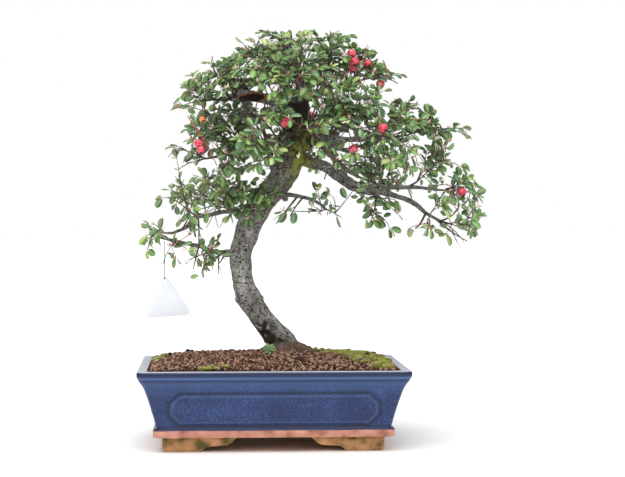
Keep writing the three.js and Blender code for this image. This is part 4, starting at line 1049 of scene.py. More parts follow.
# painted shade: the trunk is darkened where the limbs meet under the crown, and given gnarled relief there
shaded_hollow = near(skin, [24, -8, 298], [28, 24, 36])
knob_dark = 0.5 * near(skin, [-31, -8, 135], [4, 8, 5]) + 0.3 * near(skin, [-3, -8, 137.5], [5, 8, 5])
relief = 0.75 * noise(skin, 15, 11) + 0.5 * noise(skin, 6, 12) + 0.3 * noise(skin, 2.6, 13)
relief += 1.6 * shaded_hollow * noise(skin, 5, 16) - 1.5 * np.clip(0.22 - ridges, 0, 1) - 1.6 * pits
relief += 1.4 * near(skin, SCAR, [10, 9, 12]) - 2.6 * scar - 1.4 * streak
on_cut = (skin[:, 0] > CUT_X[0]) & (skin[:, 0] < CUT_X[1]) & (skin[:, 1] < CUT_Y + 1.2)
on_cut &= np.abs(skin[:, 2] - CUT_Z) < 10
skin = skin + normals * (relief * old_wood * ~on_cut)[:, None]

# %% [markdown]
# The saw left a flat slanting face. Its points are drawn back to one plane, and an oval inside
# it is hollowed out a little, where the heart wood has sunk. The finish paints shade into that
# sunk middle and a painted highlight on its rim.

# %% Saw cut
skin[on_cut, 1] = np.maximum(skin[on_cut, 1], CUT_Y + 0.5 * noise(skin[on_cut], 2.2, 17))
from_middle = skin[:, 0] - np.mean(CUT_X)
over_middle = skin[:, 2] - CUT_Z + 0.5 - CUT_SLOPE * from_middle
oval = np.hypot(from_middle / CUT_HALF_LENGTH, over_middle / CUT_HALF_HEIGHT)
skin[:, 1] += CUT_HOLLOW * np.clip(1.1 - oval, 0, 1) * on_cut
cut = on_cut * (oval < 1.25) * np.where(oval < 0.85, 1, 0.5)
print("points on the saw cut:", int(on_cut.sum()))

# %% [markdown]
# The slender limbs join the skin as one piece of wood. Numbers on its points tell the finish
# where the bark is dark, green or brown: in pits and scars and on the limbs, and as painted
# shade high up under the crown and on the side away from the light.

# %% Slender limbs and the wood's marks
rods = []
for limb in slender:
    if len(limb) > 3:
        limb[:, 3] *= 1 + 0.14 * noise(limb[:, :3], 4, 18)
        rods.append(tube_of(limb, 9))
rod_points, rod_faces = stacked(rods)
wood_shape = stacked([(skin, [skin_quads]), (rod_points, rod_faces)])
wood_points = wood_shape[0]
on_limbs = 0.4 * np.clip((np.abs(skin[:, 0] - 5) - 40) / 14, 0, 1) * (skin[:, 2] > 150)
# painted shade: the trunk darkens upwards under the crown, and on the side away from the key lamp
upper = 0.26 * np.clip((skin[:, 2] - 200) / 30, 0, 1)
shaded = 0.34 * np.clip(normals[:, 0] - 0.1, 0, 1)
marked = 1.2 * pits + 1.7 * scar + 1.4 * streak + 1.1 * shaded_hollow + knob_dark
dark = np.clip(marked + np.maximum(on_limbs, upper) + shaded, 0, 1)
wood_marks = {
    "dark": np.concatenate([dark, np.full(len(rod_points), 0.5)]),
    "green": np.clip(1.3 * near(wood_points, [27, -6, 266], [11, 16, 24]), 0, 1),
    "foot": np.clip((102 - wood_points[:, 2]) / 10, 0, 1),
    "cut": cut,
}
print("wood:", len(wood_points), "points,", len(rods), "slender limbs")

# %% [markdown]
# Old bark is light grey, broken by dark specks and thin cracks. It turns brown at the foot,
# where it is damp, and yellow green with algae on the shaded side of the upper trunk.

# %% Bark finish
bark = Finish("bark", 0.85, specular=0.2)
grain = bark.noise(2.0, 4, (1, 1, 0.6))
grey = bark.steps(bark.blend(bark.noise(11, 4), 0.5, grain, 0.5), (0.34, 100, 96, 89),
                  (0.45, 136, 134, 128), (0.55, 162, 160, 154), (0.66, 196, 194, 190))
cracks = bark.between(bark.noise(4.5, 3, (1, 1, 0.22)), 0.5, 0.36)
specks = bark.between(bark.noise(2.0, 2, (0.66, 0.66, 1.5)), 0.56, 0.62)
algae = bark.times(bark.mark("green"), bark.between(bark.noise(6, 3), 0.38, 0.56))
# the dark mark holds real pits, scars and stains together with painted shade under the crown and away from
# the light
wood_colour = bark.tinted(grey, (cracks, 0.5, (84, 78, 72)), (specks, 0.92, (40, 35, 32)),
                          (bark.mark("foot"), 0.85, (98, 74, 56)), (bark.mark("dark"), 1, (44, 36, 32)),
                          (algae, 0.85, (142, 148, 62)))
# the saw cut's brown wood: painted shade in the sunk middle, a painted highlight on the rim
cut_shade_and_lit_rim = bark.steps(bark.mark("cut"), (0.2, 60, 40, 32), (0.5, 120, 82, 62), (0.7, 76, 50, 40),
                   (0.95, 34, 24, 22))
wood_colour = bark.mix(bark.between(bark.mark("cut"), 0.1, 0.35), wood_colour, cut_shade_and_lit_rim)
bark_finish = bark.done(wood_colour, bark.bump(grain, 0.6))
piece("trunk_and_limbs", wood_shape, [bark_finish], "bark", ["tree"], marks=wood_marks)

# %% [markdown]
# ## Twigs
#
# Inside the dome there are many fine twigs without leaves, most of them dark. They start from
# the limbs, fork once, and grow outwards and up. A quadratic curve bends each one a little. The
# crown has open places too, so a rule says how open it is round a point.

# %% Open places
CROWN_CENTRE = np.array([35, 0, 262.0])
CROWN_REACH = np.array([160, 110, 130.0])
# Middle, reach, and the share of leaves that are missing there
OPENINGS = [
    ([-105, 0, 250], [45, 90, 50], 0.6), ([-95, 0, 305], [42, 90, 42], 0.7),
    ([50, 0, 206], [36, 110, 26], 0.95), ([135, 0, 235], [46, 100, 60], 0.55),
    ([-40, 0, 203], [40, 90, 22], 0.5), ([-20, -60, 326], [22, 44, 10], 0.9),
    ([20, -62, 266], [21, 62, 40], 1.0), ([105, 0, 330], [50, 90, 30], 0.45),
    ([60, 0, 284], [32, 110, 18], 0.92), ([-80, 0, 258], [42, 120, 26], 0.8),
    ([-106, 0, 200], [46, 100, 34], 0.6), ([-118, 0, 255], [36, 90, 40], 0.5),
    ([28, -60, 308], [18, 60, 24], 0.7),
]


def openness(places):
    """0.2 and 0.84 of the largest of share exp(-(distance / reach)^4) over the open places."""
    shares = []
    for middle, reach, share in OPENINGS:
        shares.append(share * np.exp(-(((places - middle) / reach) ** 2).sum(axis=-1) ** 2))
    return 0.2 + 0.84 * np.max(shares, axis=0)


def within_box(points):
    """Which points lie inside the solid model's box."""
    low, high = (np.array(corner) for corner in CAD_BOX)
    at = placed(points)
    return np.all((at > low) & (at < high), axis=-1)


print("openness at the crown's middle:", round(float(openness(CROWN_CENTRE)), 2))

# %% Twigs inside the crown
TWIG_COUNT, TWIG_STEPS = 460, 7
OPEN_TO_TWIGS = 0.42  # twigs that would stand bare in the open places are left out

fine_limbs = np.vstack([spline(rows, 3)[3:] for rows in LIMBS.values()])
k = np.arange(TWIG_COUNT)
start = fine_limbs[(chance(k, 1, 81) * len(fine_limbs)).astype(int), :3]
heading = unit(unit(start - CROWN_CENTRE) * 0.7 + [0, 0, 0.25] + 1.7 * chances(k, 82, (2, 3, 4)))
reach = 12 + 30 * chance(k, 5, 83)
end = start + heading * reach[:, None]
hidden = openness(end) < OPEN_TO_TWIGS
k, start, heading, reach, end = (values[hidden] for values in (k, start, heading, reach, end))
bend = (start + end) / 2 + 0.3 * reach[:, None] * chances(k, 84, (6, 7, 8))
twig_lines = arc(start, bend, end, TWIG_STEPS)
fork = twig_lines[:, TWIG_STEPS // 2]
fork_end = fork + unit(heading + 1.5 * chances(k, 85, (1, 2, 3))) * (reach * 0.5)[:, None]
fork_lines = arc(fork, (fork + fork_end) / 2 + [0, 0, 1], fork_end, TWIG_STEPS)
thickness = np.concatenate([0.6 + 0.6 * chance(k, 9, 86), 0 * k + 0.45])
taper = np.linspace(1, 0.45, TWIG_STEPS)
twigs = tubes(np.concatenate([twig_lines, fork_lines]), np.outer(thickness, taper), 5)
print("bare twigs:", len(k))

# %% [markdown]
# A few twigs stand where everyone sees them, so they have rows of their own: short grey stubs,
# and long young shoots that are pinkish red.

# %% Stubs and red shoots
STUBS = np.array([  # rows of x, y, z, radius
    [[-72, -28, 213, 1.2], [-73, -29, 203, 0.9], [-72, -28, 196, 0.75]],
    [[-68, -27, 215, 1.2], [-75, -31, 228, 0.9], [-77, -33, 240, 0.675]],
    [[144, -31, 218, 1.2], [139, -33, 209, 0.9], [134, -35, 204, 0.675]],
    [[24, -6, 282, 1.2], [34, -9, 272, 0.975], [40, -10, 262, 0.9]],
])
RED_SHOOTS = np.array([  # from, to
    [[-79, -50, 308], [-56, -46, 268]], [[-70, -60, 296], [-52, -44, 262]],
    [[24, -62, 344], [50, -60, 358]], [[104, -30, 362], [107, -34, 344]],
    [[62, -70, 330], [66, -56, 350]],
])
RED_STEPS = 9

stubs = [tube_of(spline(row, 1.5), 7) for row in STUBS]
red_lines = arc(RED_SHOOTS[:, 0], RED_SHOOTS.mean(axis=1) + [2, -3, 1], RED_SHOOTS[:, 1], RED_STEPS)
red = tubes(red_lines, np.linspace(0.65, 0.4, RED_STEPS), 6)
bare_shape = stacked([twigs, red, *stubs])
is_red = np.repeat([0, 1], [len(twigs[0]), len(red[0])])
print("stubs and shoots in the box:", bool(within_box(bare_shape[0]).all()))

# %% [markdown]
# Twig bark is darker than that of the trunk and drifts from nearly black to grey. The same
# finish serves the leafy sprays: young wood is pinkish, and wood deep in the crown is painted
# darker, as shade.

# %% Twig finish
young = Finish("twig_bark", 0.7, specular=0.3)
twig_colour = young.steps(young.blend(young.noise(16, 2), 0.6, young.noise(1.6, 2), 0.4),
                          (0.34, 48, 38, 36), (0.48, 84, 70, 63), (0.6, 124, 110, 98), (0.72, 156, 142, 126))
# painted shade: wood deep in the crown is darkened
twig_colour = young.tinted(twig_colour, (young.mark("young"), 1, (158, 92, 82)),
                           (young.mark("deep"), 0.8, (22, 18, 16)))
twig_finish = young.done(twig_colour, young.bump(young.noise(0.9, 2), 0.12))
piece("bare_twigs", bare_shape, [twig_finish], "bark", marks={"young": is_red})

# %% [markdown]
# ## Leafy sprays
#
# Each spray starts on a limb, forks, and sends one twig to each of its tips. Short side shoots
# stand along the twigs, and leaves stand in turn to the left and right along every shoot with a
# tuft at its end. The rule below makes one spray from its row in the table.

# %% Table of the sprays: limb, how far along it, and the tips
SPRAYS = [
    ["low_left", 1.0, [[-127, -21, 199], [-119, -6, 214], [-116, -42, 189]]],
    ["low_left", 0.4, [[-60, -35, 167], [-74, 13, 174]]],
    ["low_left", 0.72, [[-94, -52, 184]]],
    ["mid_left", 1.0, [[-118, -54, 215], [-108, -64, 196]]],
    ["mid_left", 0.62, [[-103, -36, 238], [-84, -62, 246]]],
    ["mid_left", 0.2, [[-20, -50, 223], [-46, -58, 238]]],
    ["left", 1.0, [[-98, -34, 252], [-104, -20, 282], [-74, -54, 258]]],
    ["left", 0.55, [[-44, -66, 268], [-80, -46, 302], [-34, -58, 292]]],
    ["upper_left", 1.0, [[-98, -20, 312], [-88, -38, 335], [-74, -54, 318]]],
    ["upper_left", 0.5, [[-68, -8, 353], [-52, -44, 360]]],
    ["leader", 0.3, [[-36, -10, 376], [-30, 28, 372]]],
    ["leader", 1.0, [[-12, -14, 393], [15, 4, 396], [6, 30, 388]]],
    ["upper_right", 0.35, [[38, -16, 394], [57, 8, 394], [52, -44, 372]]],
    ["upper_right", 0.75, [[77, -24, 382], [90, 24, 370]]],
    ["upper_right", 1.0, [[105, -10, 366], [121, 4, 344], [97, -46, 351]]],
    ["right_upper", 0.6, [[141, 4, 332], [129, 52, 317.5]]],
    ["right_upper", 1.0, [[162, 26, 316], [183, 16, 298], [158, -18, 300]]],
    ["right_fork", 0.6, [[177, -8, 276], [154, 36, 270], [140, -34, 262]]],
    ["right_fork", 1.0, [[208, 4, 231], [192, -14, 250], [186, 34, 240]]],
    ["right", 1.0, [[186, -38, 198], [199, -24, 215.5]]],
    ["right", 0.86, [[138, -56, 198], [158, -56, 238]]],
    ["right", 0.5, [[90, -50, 204], [110, -60, 224]]],
    ["low_right", 1.0, [[63, -66, 212], [36, -62, 216]]],
    ["front", 1.0, [[-4, -117, 262], [-32, -104, 284], [30, -106, 262]]],
    ["front", 0.55, [[36, -102, 292], [2, -98, 314]]],
    ["front_right", 1.0, [[132, -94, 270], [128, -84, 306], [92, -106, 274]]],
    ["front_right", 0.55, [[98, -94, 322], [62, -98, 312], [68, -88, 338]]],
    ["upper_front", 1.0, [[0, -92, 336], [-28, -72, 348], [30, -90, 340]]],
    ["upper_front", 0.5, [[46, -74, 356], [26, -50, 382], [-6, -52, 374]]],
    ["back_left", 1.0, [[-82, 106, 232], [-102, 82, 250], [-60, 112, 254]]],
    ["back_left", 0.5, [[-72, 46, 258], [-44, 92, 264], [-92, 48, 226]]],
    ["high_back_left", 1.0, [[-84, 70, 298], [-86, 36, 324], [-60, 92, 290]]],
    ["high_back_left", 0.5, [[-48, 62, 346], [-34, 90, 318]]],
    ["back", 1.0, [[32, 122, 270], [-4, 112, 284], [52, 112, 288]]],
    ["back", 0.5, [[66, 100, 306], [14, 98, 318]]],
    ["back_right", 1.0, [[140, 102, 262], [122, 96, 294], [98, 110, 258]]],
    ["back_right", 0.5, [[104, 70, 326], [70, 90, 330]]],
    ["upper_back", 1.0, [[-17, 82, 347.5], [29, 73.5, 361], [51, 59, 357.5]]],
    ["right_inner", 1.0, [[122, 66, 230], [136, 48, 248], [100, 62, 262]]],
]
print("sprays:", len(SPRAYS))

# %% [markdown]
# The skeleton of a spray is its stem and one curved twig to each tip. A twig lifts and swings
# out a little before it turns to its tip, because shoots grow towards the light.

# %% Skeletons
STEM_SHARE, STEM_SHORTEST, NECK = 0.2, 4, 3.3
LIFT = SWING = 0.15
RIB, RIB_VARIES = 15.2, 0.18  # the last stretch before a tip
TWIG_BENDS = 24
TUFT, TUFT_VARIES = 10.5, 2.5  # how far short of its tip a twig ends, for its leaves


class Spray:
    """The stem, and for each tip the curve (fork, bend, end) and the heading at its end."""

    def __init__(self, limb, share, tips, index):
        rows = np.array(LIMBS[limb])[:, :3]
        at = min(share * (len(rows) - 1), len(rows) - 1)
        i = min(int(at), len(rows) - 2)
        self.root = rows[i] + (rows[i + 1] - rows[i]) * (at - i)
        self.tips = np.array(tips, float)
        middle = self.tips.mean(axis=0) - self.root
        reach = np.linalg.norm(middle)
        self.way = unit(middle / reach + 0.5 * unit(rows[i + 1] - rows[i]))
        self.fork = self.root + self.way * (max(STEM_SHORTEST, STEM_SHARE * reach) + NECK)
        self.seeds = index * 3 + np.arange(len(tips))
        rib = RIB * (1 + RIB_VARIES * (2 * chance(self.seeds, 0, 1) - 1))
        length = np.linalg.norm(self.tips - self.fork, axis=1)
        run = length - rib
        bend = self.fork + (self.tips - self.fork) * (0.5 * run / length)[:, None]
        self.bend = bend + self.way * (SWING * run)[:, None] + np.outer(LIFT * run, [0, 0, 1])
        self.heading = unit(self.tips - self.bend)
        self.rib_feet = self.tips - self.heading * rib[:, None]
        tuft = TUFT + TUFT_VARIES * chance(self.seeds, 1, 91)
        self.ends = self.tips - self.heading * tuft[:, None]

    def twigs(self, steps):
        """The twigs' curves, as far as their last stretch."""
        return arc(self.fork, self.bend, self.rib_feet, steps)


sprays = [Spray(*row, index) for index, row in enumerate(SPRAYS)]
all_tips = np.vstack([spray.tips for spray in sprays])
print("twigs:", len(all_tips), "of which the first ends at", np.round(sprays[0].ends[0], 1))

# %% [markdown]
# A leaf is small and oval, folded a little along its midrib and curved back. Its two faces
# share their edge, so it is a closed thin blade. Its rows of points follow an ellipse: turning
# by an angle a from the stalk to the tip, a row lies at (1 - cos a) / 2 of the length and is
# sin a wide. Seven rows of three points are enough for something a centimetre long.

# %% Leaf blade
BLADE_ROWS, BLADE_COLUMNS = 7, 3
BLADE_THICK = 0.22


def blade_template():
    """Places (u along, v across, side of the blade, width there) on both faces, and the quads."""
    a, v = np.meshgrid(np.linspace(0, np.pi, BLADE_ROWS), np.linspace(-1, 1, BLADE_COLUMNS), indexing="ij")
    u = (1 - np.cos(a)) / 2
    wide = np.maximum(np.sin(a), 0.03) * (1 - 0.1 * np.cos(a))
    front = np.column_stack([u.ravel(), v.ravel(), np.ones(u.size), wide.ravel()])
    rim = (np.abs(front[:, 1]) > 0.99) | (front[:, 0] < 0.01) | (front[:, 0] > 0.99)
    back = front[~rim] * [1, 1, -1, 1]
    front[rim, 2] = 0
    behind = np.arange(len(front))
    behind[~rim] = len(front) + np.arange(len(back))
    quads = grid_faces(BLADE_ROWS, BLADE_COLUMNS)
    return np.vstack([front, back]), np.vstack([quads[:, ::-1], behind[quads]])


def blades_at(foot, along, up, length, width, fold, curl):
    """Blades from their feet: across = up x along. A point lies at length u along, half width v
    across, raised by fold |v| and dropped by curl u^2."""
    along = unit(along)
    across = unit(np.cross(up, along))
    normal = np.cross(along, across)
    length, width, fold, curl = (a[:, None] for a in (length, width, fold, curl))
    u, v, face, wide = blade.T
    half = 0.5 * width * wide
    lift = half * np.abs(v) * np.sin(fold) - length * curl * u**2 + BLADE_THICK * 0.5 * face
    along_by = length * (u - 0.3 * curl**2 * u**3)
    across_by = half * v * np.cos(fold)
    points = foot[:, None] + along[:, None] * along_by[..., None]
    return points + across[:, None] * across_by[..., None] + normal[:, None] * lift[..., None]


blade, blade_quads = blade_template()
print("a leaf has", len(blade), "points")

# %% [markdown]
# Between the tips of neighbouring twigs the dome would have gaps. More places are chosen there,
# drawn in a little towards the crown's middle, and each gets a shoot from the nearest twig.

# %% Places that fill gaps
NEIGHBOURS = 6
FROM_FORK = 5  # shoots start no nearer to the fork than this point of a twig's curve
FILL_REACH = (7, 40)
OPEN_TO_SHOOTS = 0.55
ROOM_FOR_LEAVES = 1.06
# More places that carry leaves, left of the trunk
THICKETS = [
    [-12, -25, 262], [-18, 10, 255], [-5, -30, 250], [-25, -10, 262], [0, 20, 255], [-10, -20, 240],
    [-20, -35, 248], [-30, 15, 245], [-6, 30, 266], [6, -34, 246], [1, -30, 236], [10, -34, 262],
    [-6, -34, 228], [-14, -32, 222], [4, -36, 254], [-22, -28, 228], [-72, -10, 210],
    [-52, -20, 212], [-60, -34, 220], [-44, -8, 208],
]


def gap_places():
    """Places between each tip and its nearest other tips, drawn in towards the crown's middle."""
    apart = np.linalg.norm(all_tips[:, None] - all_tips, axis=2)
    here = np.repeat(all_tips, NEIGHBOURS, axis=0)
    there = all_tips[np.argsort(apart, axis=1)[:, 1 : NEIGHBOURS + 1].ravel()]
    k = np.arange(len(here))
    t = (0.12 + 0.4 * chance(k, 1, 131))[:, None]
    drawn_in = (0.80 + 0.22 * chance(k, 2, 132))[:, None]
    between = here * (1 - t) + there * t
    places = CROWN_CENTRE + (between - CROWN_CENTRE) * drawn_in + 12 * chances(k, 133)
    places = np.vstack([places, THICKETS])
    return places[within_box(CROWN_CENTRE + (places - CROWN_CENTRE) * ROOM_FOR_LEAVES)]


feet_on_twigs = [spray.twigs(TWIG_BENDS)[:, FROM_FORK:].reshape(-1, 3) for spray in sprays]
twig_owner = np.repeat(np.arange(len(sprays)), [len(feet) for feet in feet_on_twigs])
twig_feet = np.vstack(feet_on_twigs)
fill = gap_places()
to_twigs = np.linalg.norm(fill[:, None] - twig_feet, axis=2)
closest, away = to_twigs.argmin(axis=1), to_twigs.min(axis=1)
wanted = (away > FILL_REACH[0]) & (away < FILL_REACH[1]) & (openness(fill) < OPEN_TO_SHOOTS)
fill, closest = fill[wanted], closest[wanted]
print("shoots that fill gaps:", len(fill))

# %% [markdown]
# A shoot is a thin curve with a key, which gives it its own chance, and a length that bears
# leaves. Side shoots stand along a twig, turned outwards and up, and grow shorter towards its
# end.

# %% Shoots
SHOOT_STEPS = 7
SHOOT_EVERY = 7.0
FIRST_SHOOT, LAST_SHOOT = 5, 3  # from the twig's two ends
LEAF_ROOM = 13  # that a shoot needs beyond its end
LEAFY_END = 22  # of a long shoot, the stretch that bears leaves
LEAFY_TWIG = 0.75
FILL_KEYS = 5000


def place_on(line, run, stops):
    """The points of a line at these distances along it."""
    return np.stack([np.interp(stops, run, column) for column in line.T], axis=-1)


def side_shoots(twig, seed):
    """The shoots along a twig, each as (curve, key, leafy length)."""
    run = along_line(twig)
    grown = []
    for j, stop in enumerate(np.arange(FIRST_SHOOT, run[-1] - LAST_SHOOT, SHOOT_EVERY)):
        foot = place_on(twig, run, stop)
        ahead = unit(place_on(twig, run, stop + 1) - foot)
        key = seed * 31 + j
        heading = 0.55 * ahead + 0.5 * unit(foot - CROWN_CENTRE) + [0, 0, 0.15] + 2.0 * chances(key, 93)
        length = (9 + 15 * chance(key, 2, 94)) * (1 - 0.25 * stop / run[-1])
        tip = foot + unit(heading) * length
        if within_box(tip + unit(heading) * LEAF_ROOM) and openness(tip) < 0.8:
            middle = (foot + tip) / 2 + ahead * 0.15 * length + [0, 0, 0.1 * length]
            grown.append((arc(foot, middle, tip, SHOOT_STEPS), key + 7, length))
    return grown


def fill_shoots(index):
    """The shoots from this spray's twigs to the places that fill gaps."""
    grown = []
    for number in np.flatnonzero(twig_owner[closest] == index):
        foot, tip = twig_feet[closest[number]], fill[number]
        length = np.linalg.norm(tip - foot)
        middle = (foot + tip) / 2 + 0.3 * length * chances(number, 134) + [0, 0, 0.1 * length]
        grown.append((arc(foot, middle, tip, SHOOT_STEPS), FILL_KEYS + number * 3, min(length, LEAFY_END)))
    return grown


print("a spray fills up to", np.bincount(twig_owner[closest]).max(), "gaps")

# %% [markdown]
# The leaves on the outside catch the light: a leaf's face looks up and away from the middle of
# the crown, with a good deal of chance. Every shoot ends in a tuft of three, and below it the
# leaves stand in turn to the left and right. In the open places most of them are missing.

# %% Leaves along the shoots
LEAF_EVERY = 4.0
TUFT_LEAVES = 3
END_LEAF = 8.5


def leaf_rows(line, key, leafy):
    """A row (foot, direction, number, key, distance from the end) for each leaf of a shoot."""
    run = along_line(line)
    stops = run[-1] - np.arange(int(leafy / LEAF_EVERY) + 1) * LEAF_EVERY
    stops = np.concatenate([[run[-1], run[-1]], stops])
    stops = stops[stops > 1.2]
    feet = place_on(line, run, stops)
    number = np.arange(len(stops))
    ahead = unit(feet - place_on(line, run, stops - 1))
    return np.column_stack([feet, ahead, number, 0 * number + key, run[-1] - stops])


def grown_leaves(rows):
    """Blades, their feet, their stalks' feet, keys and distances from the end, of those that stay."""
    feet, ahead, (number, key, back) = rows[:, :3], rows[:, 3:6], rows[:, 6:].T
    key = key * 17 + number
    out = unit(feet - CROWN_CENTRE) * 1.3 + [0, 0, 1] + 2.0 * chances(key, 95)
    up = unit(out - ahead * np.sum(out * ahead, axis=1, keepdims=True))
    side = np.cross(up, ahead) * np.where(number % 2, 1, -1)[:, None]
    spread = np.where(number < TUFT_LEAVES, 0.9, 1.1 + 0.3 * chance(key, 1, 96))
    spread[number == 0] = 0.15
    along = ahead * np.cos(spread)[:, None] + side * np.sin(spread)[:, None] + 0.35 * chances(key, 97)
    length = np.where(number == 0, END_LEAF, 6.4 + 5.0 * chance(key, 2, 98))
    width = length * (0.57 + 0.15 * chance(key, 3, 99))
    base = feet + unit(along) * (1.0 + 1.2 * chance(key, 4, 101))[:, None]
    fold, curl = 0.12 + 0.35 * chance(key, 5, 102), -0.04 + 0.3 * chance(key, 6, 103)
    blades = blades_at(base, along, up, length, width, fold, curl)
    keep = within_box(blades).all(axis=1) & (chance(key, 8, 104) > openness(base))
    return [values[keep] for values in (blades, base, feet, key, back)]


print("leaves of a straight shoot:", len(leaf_rows(np.array([[0, 0, 0], [20, 0, 0]]), 0, LEAFY_END)))

# %% [markdown]
# The leaf finish reads the place on the blade. One half of the blade keeps the pale colour of
# the midrib, and the other darkens away from it up to a paler rim, as a folded leaf has one half
# in the light. A faint bloom covers all but a slanting band near the stalk. Old leaves are mid
# green, a few are bluish or bronze, the young ones at the ends are bright, the backs are lighter.

# %% Leaf finish
leaf = Finish("leaf", 0.33, specular=0.5)
split = leaf.node("SeparateXYZ", {0: leaf.node("UVMap").outputs[0]})
from_rib = leaf.clamped("SUBTRACT", leaf.times(split.outputs[1], 2.0), 1.0)
# painted light: the midrib and the whole lit half of the folded blade take the pale colour
lit_half_and_midrib = leaf.between(from_rib, 0.16, 0.03)
slant = leaf.clamped("SUBTRACT", leaf.times(split.outputs[0], 7.0), leaf.times(from_rib, 1.6))
bloom = leaf.between(leaf.math("PINGPONG", slant, 0.5), 0.12, 0.0)
green = leaf.steps(leaf.blend(leaf.mark("tone"), 0.84, leaf.noise(5, 2), 0.16),
                   (0.05, 18, 26, 16), (0.22, 44, 62, 38), (0.42, 78, 112, 64),
                   (0.6, 110, 152, 84), (0.78, 152, 190, 100), (0.94, 208, 222, 138))
# the last tint, deep, is painted shade: leaves deep in the crown are darkened
green = leaf.tinted(green, (leaf.mark("blue"), 1, (104, 144, 124)), (leaf.mark("bronze"), 1, (98, 84, 58)),
                    (bloom, 0.14, (150, 188, 116)), (lit_half_and_midrib, 0.4, (168, 200, 128)),
                    (leaf.between(from_rib, 0.8, 1.0), 0.3, (168, 192, 112)),
                    (leaf.mark("under"), 0.6, (150, 166, 136)), (leaf.mark("deep"), 0.96, (12, 15, 10)))
leaf.give(leaf.shader.inputs["Subsurface Weight"], 0.12)
leaf.give(leaf.shader.inputs["Subsurface Radius"], (0.4, 0.9, 0.2))
leaf.give(leaf.shader.inputs["Subsurface Scale"], 0.6 * MM)
leaf_finish = leaf.done(green, leaf.bump(lit_half_and_midrib, -0.12))

# %% [markdown]
# Twigs and leaves of a spray become one piece. Its blades carry their tone, and everything
# carries how deep it stands in the crown, because little light gets in there.

# %% A leafy piece
DEEP_FROM, DEEP_TO = 0.98, 0.54  # shares of the way from the crown's middle to its outside
DEEP_LOW, DEEP_HIGH = 256, 290
DEEP_BELOW = 0.35


def depth(points):
    """1 deep in the crown and 0 at its outside, and only 0.35 of that in the crown's lower half."""
    out = np.linalg.norm((points - CROWN_CENTRE) / CROWN_REACH, axis=1)
    by_height = np.interp(points[:, 2], [DEEP_LOW, DEEP_HIGH], [DEEP_BELOW, 1])
    return np.interp(out, [DEEP_TO, DEEP_FROM], [1, 0]) * by_height


def leafy_piece(name, wood, blades, tints, replaces, young=()):
    """A piece of twigs and blades. tints are named numbers, one for each blade, and young are
    numbers on the twigs' points."""
    each = len(blade)
    leafy = blades.reshape(-1, 3), [repeated(blade_quads, len(blades), each)]
    points, faces = stacked([*wood, leafy])
    bare = len(points) - len(leafy[0])
    tints = {mark: np.repeat(values, each) for mark, values in tints.items()}
    tints["under"] = np.tile(blade[:, 2] < 0, len(blades))
    marks = {mark: with_zeros(values, len(points), bare) for mark, values in tints.items()}
    marks |= {"young": young, "deep": depth(points)}
    uv = np.zeros((len(points), 2))
    uv[bare:] = np.tile(blade[:, :2] * [1, 0.5] + [0, 0.5], (len(blades), 1))
    looks = [0] * (len(faces) - 1) + [1]
    piece(name, (points, faces), [twig_finish, leaf_finish], "leaf", replaces,
          looks=looks, marks=marks, uv=uv)


print("depth at the crown's middle:", depth(CROWN_CENTRE[None]))

# %% [markdown]
# All rules come together: a spray's twigs, its side shoots and those that fill gaps, and the
# leaves on all of them. Leaves near a shoot's end are the brightest. The solid model has the
# same sprays as sets of plates, so each one here takes the place of its own.


# %% The thirty-nine sprays
def leafy_spray(index):
    """One spray's wood, its leaves, and which of its thin shoots are young and pinkish."""
    spray = sprays[index]
    twigs, thin, shoots = [], [], []
    for curve, end, seed in zip(spray.twigs(TWIG_BENDS), spray.ends, spray.seeds):
        twigs.append(np.vstack([curve, end]))
        shoots.append((twigs[-1], seed, along_line(twigs[-1])[-1] * LEAFY_TWIG))
        grown = side_shoots(twigs[-1], seed)
        thin += grown
        shoots += grown
    grown = fill_shoots(index)
    thin += grown
    shoots += grown
    leaves = grown_leaves(np.vstack([leaf_rows(*shoot) for shoot in shoots]))
    _, base, feet, _, _ = leaves
    stem_start, stem_end = spray.root - spray.way * 0.4, spray.fork + spray.way * 0.5
    stem = spline([stem_start, (spray.root + spray.fork) / 2, stem_end], 1.5)
    wood = [
        tubes(np.array(twigs), np.linspace(0.75, 0.36, TWIG_BENDS + 1), 6),
        tubes(np.array([curve for curve, _, _ in thin]), np.linspace(0.5, 0.26, SHOOT_STEPS), 4),
        tubes(stem[None], np.linspace(1.35, 0.8, len(stem)), 8),
        tubes(np.stack([feet, base + (base - feet) * 0.2], axis=1), [0.25, 0.17], 3),
    ]
    youth = [chance(key, 6, 141) > 0.8 for _, key, _ in shoots[len(twigs) :]]
    young = np.zeros(len(wood[0][0]) + len(wood[1][0]))
    young[len(wood[0][0]) :] = np.repeat(youth, len(wood[1][0]) // len(thin))
    return wood, leaves, young


leaf_total = 0
for index, (limb, _, _) in enumerate(SPRAYS):
    wood, (blades, _, _, key, back), young_marks = leafy_spray(index)
    grown = np.clip(back / 14, 0, 1)  # leaves further from a shoot's end are older
    tints = {
        "tone": 0.66 * chance(key, 7, 111) + 0.44 * (1 - grown) * chance(key, 8, 112),
        "blue": (chance(key, 9, 113) > 0.58) * (0.3 + 0.6 * chance(key, 1, 114)) * (grown > 0.2),
        "bronze": (chance(key, 2, 115) > 0.88) * (0.4 + 0.5 * chance(key, 3, 115)),
    }
    place = f"{index + 1:02d}_{limb}"
    leafy_piece(f"leaves_{place}", wood, blades, tints, [f"spray_{place}"], young_marks)
    leaf_total += len(key)
print("leaves:", leaf_total)

# %% [markdown]
# Winter buds and dry scales sit at the ends of the twigs: three little pointed spikes at each
# end, cream or reddish tan.

# %% Buds
BUDS_EACH = 3
BUD_RADII = [0.35, 0.75, 0.12]

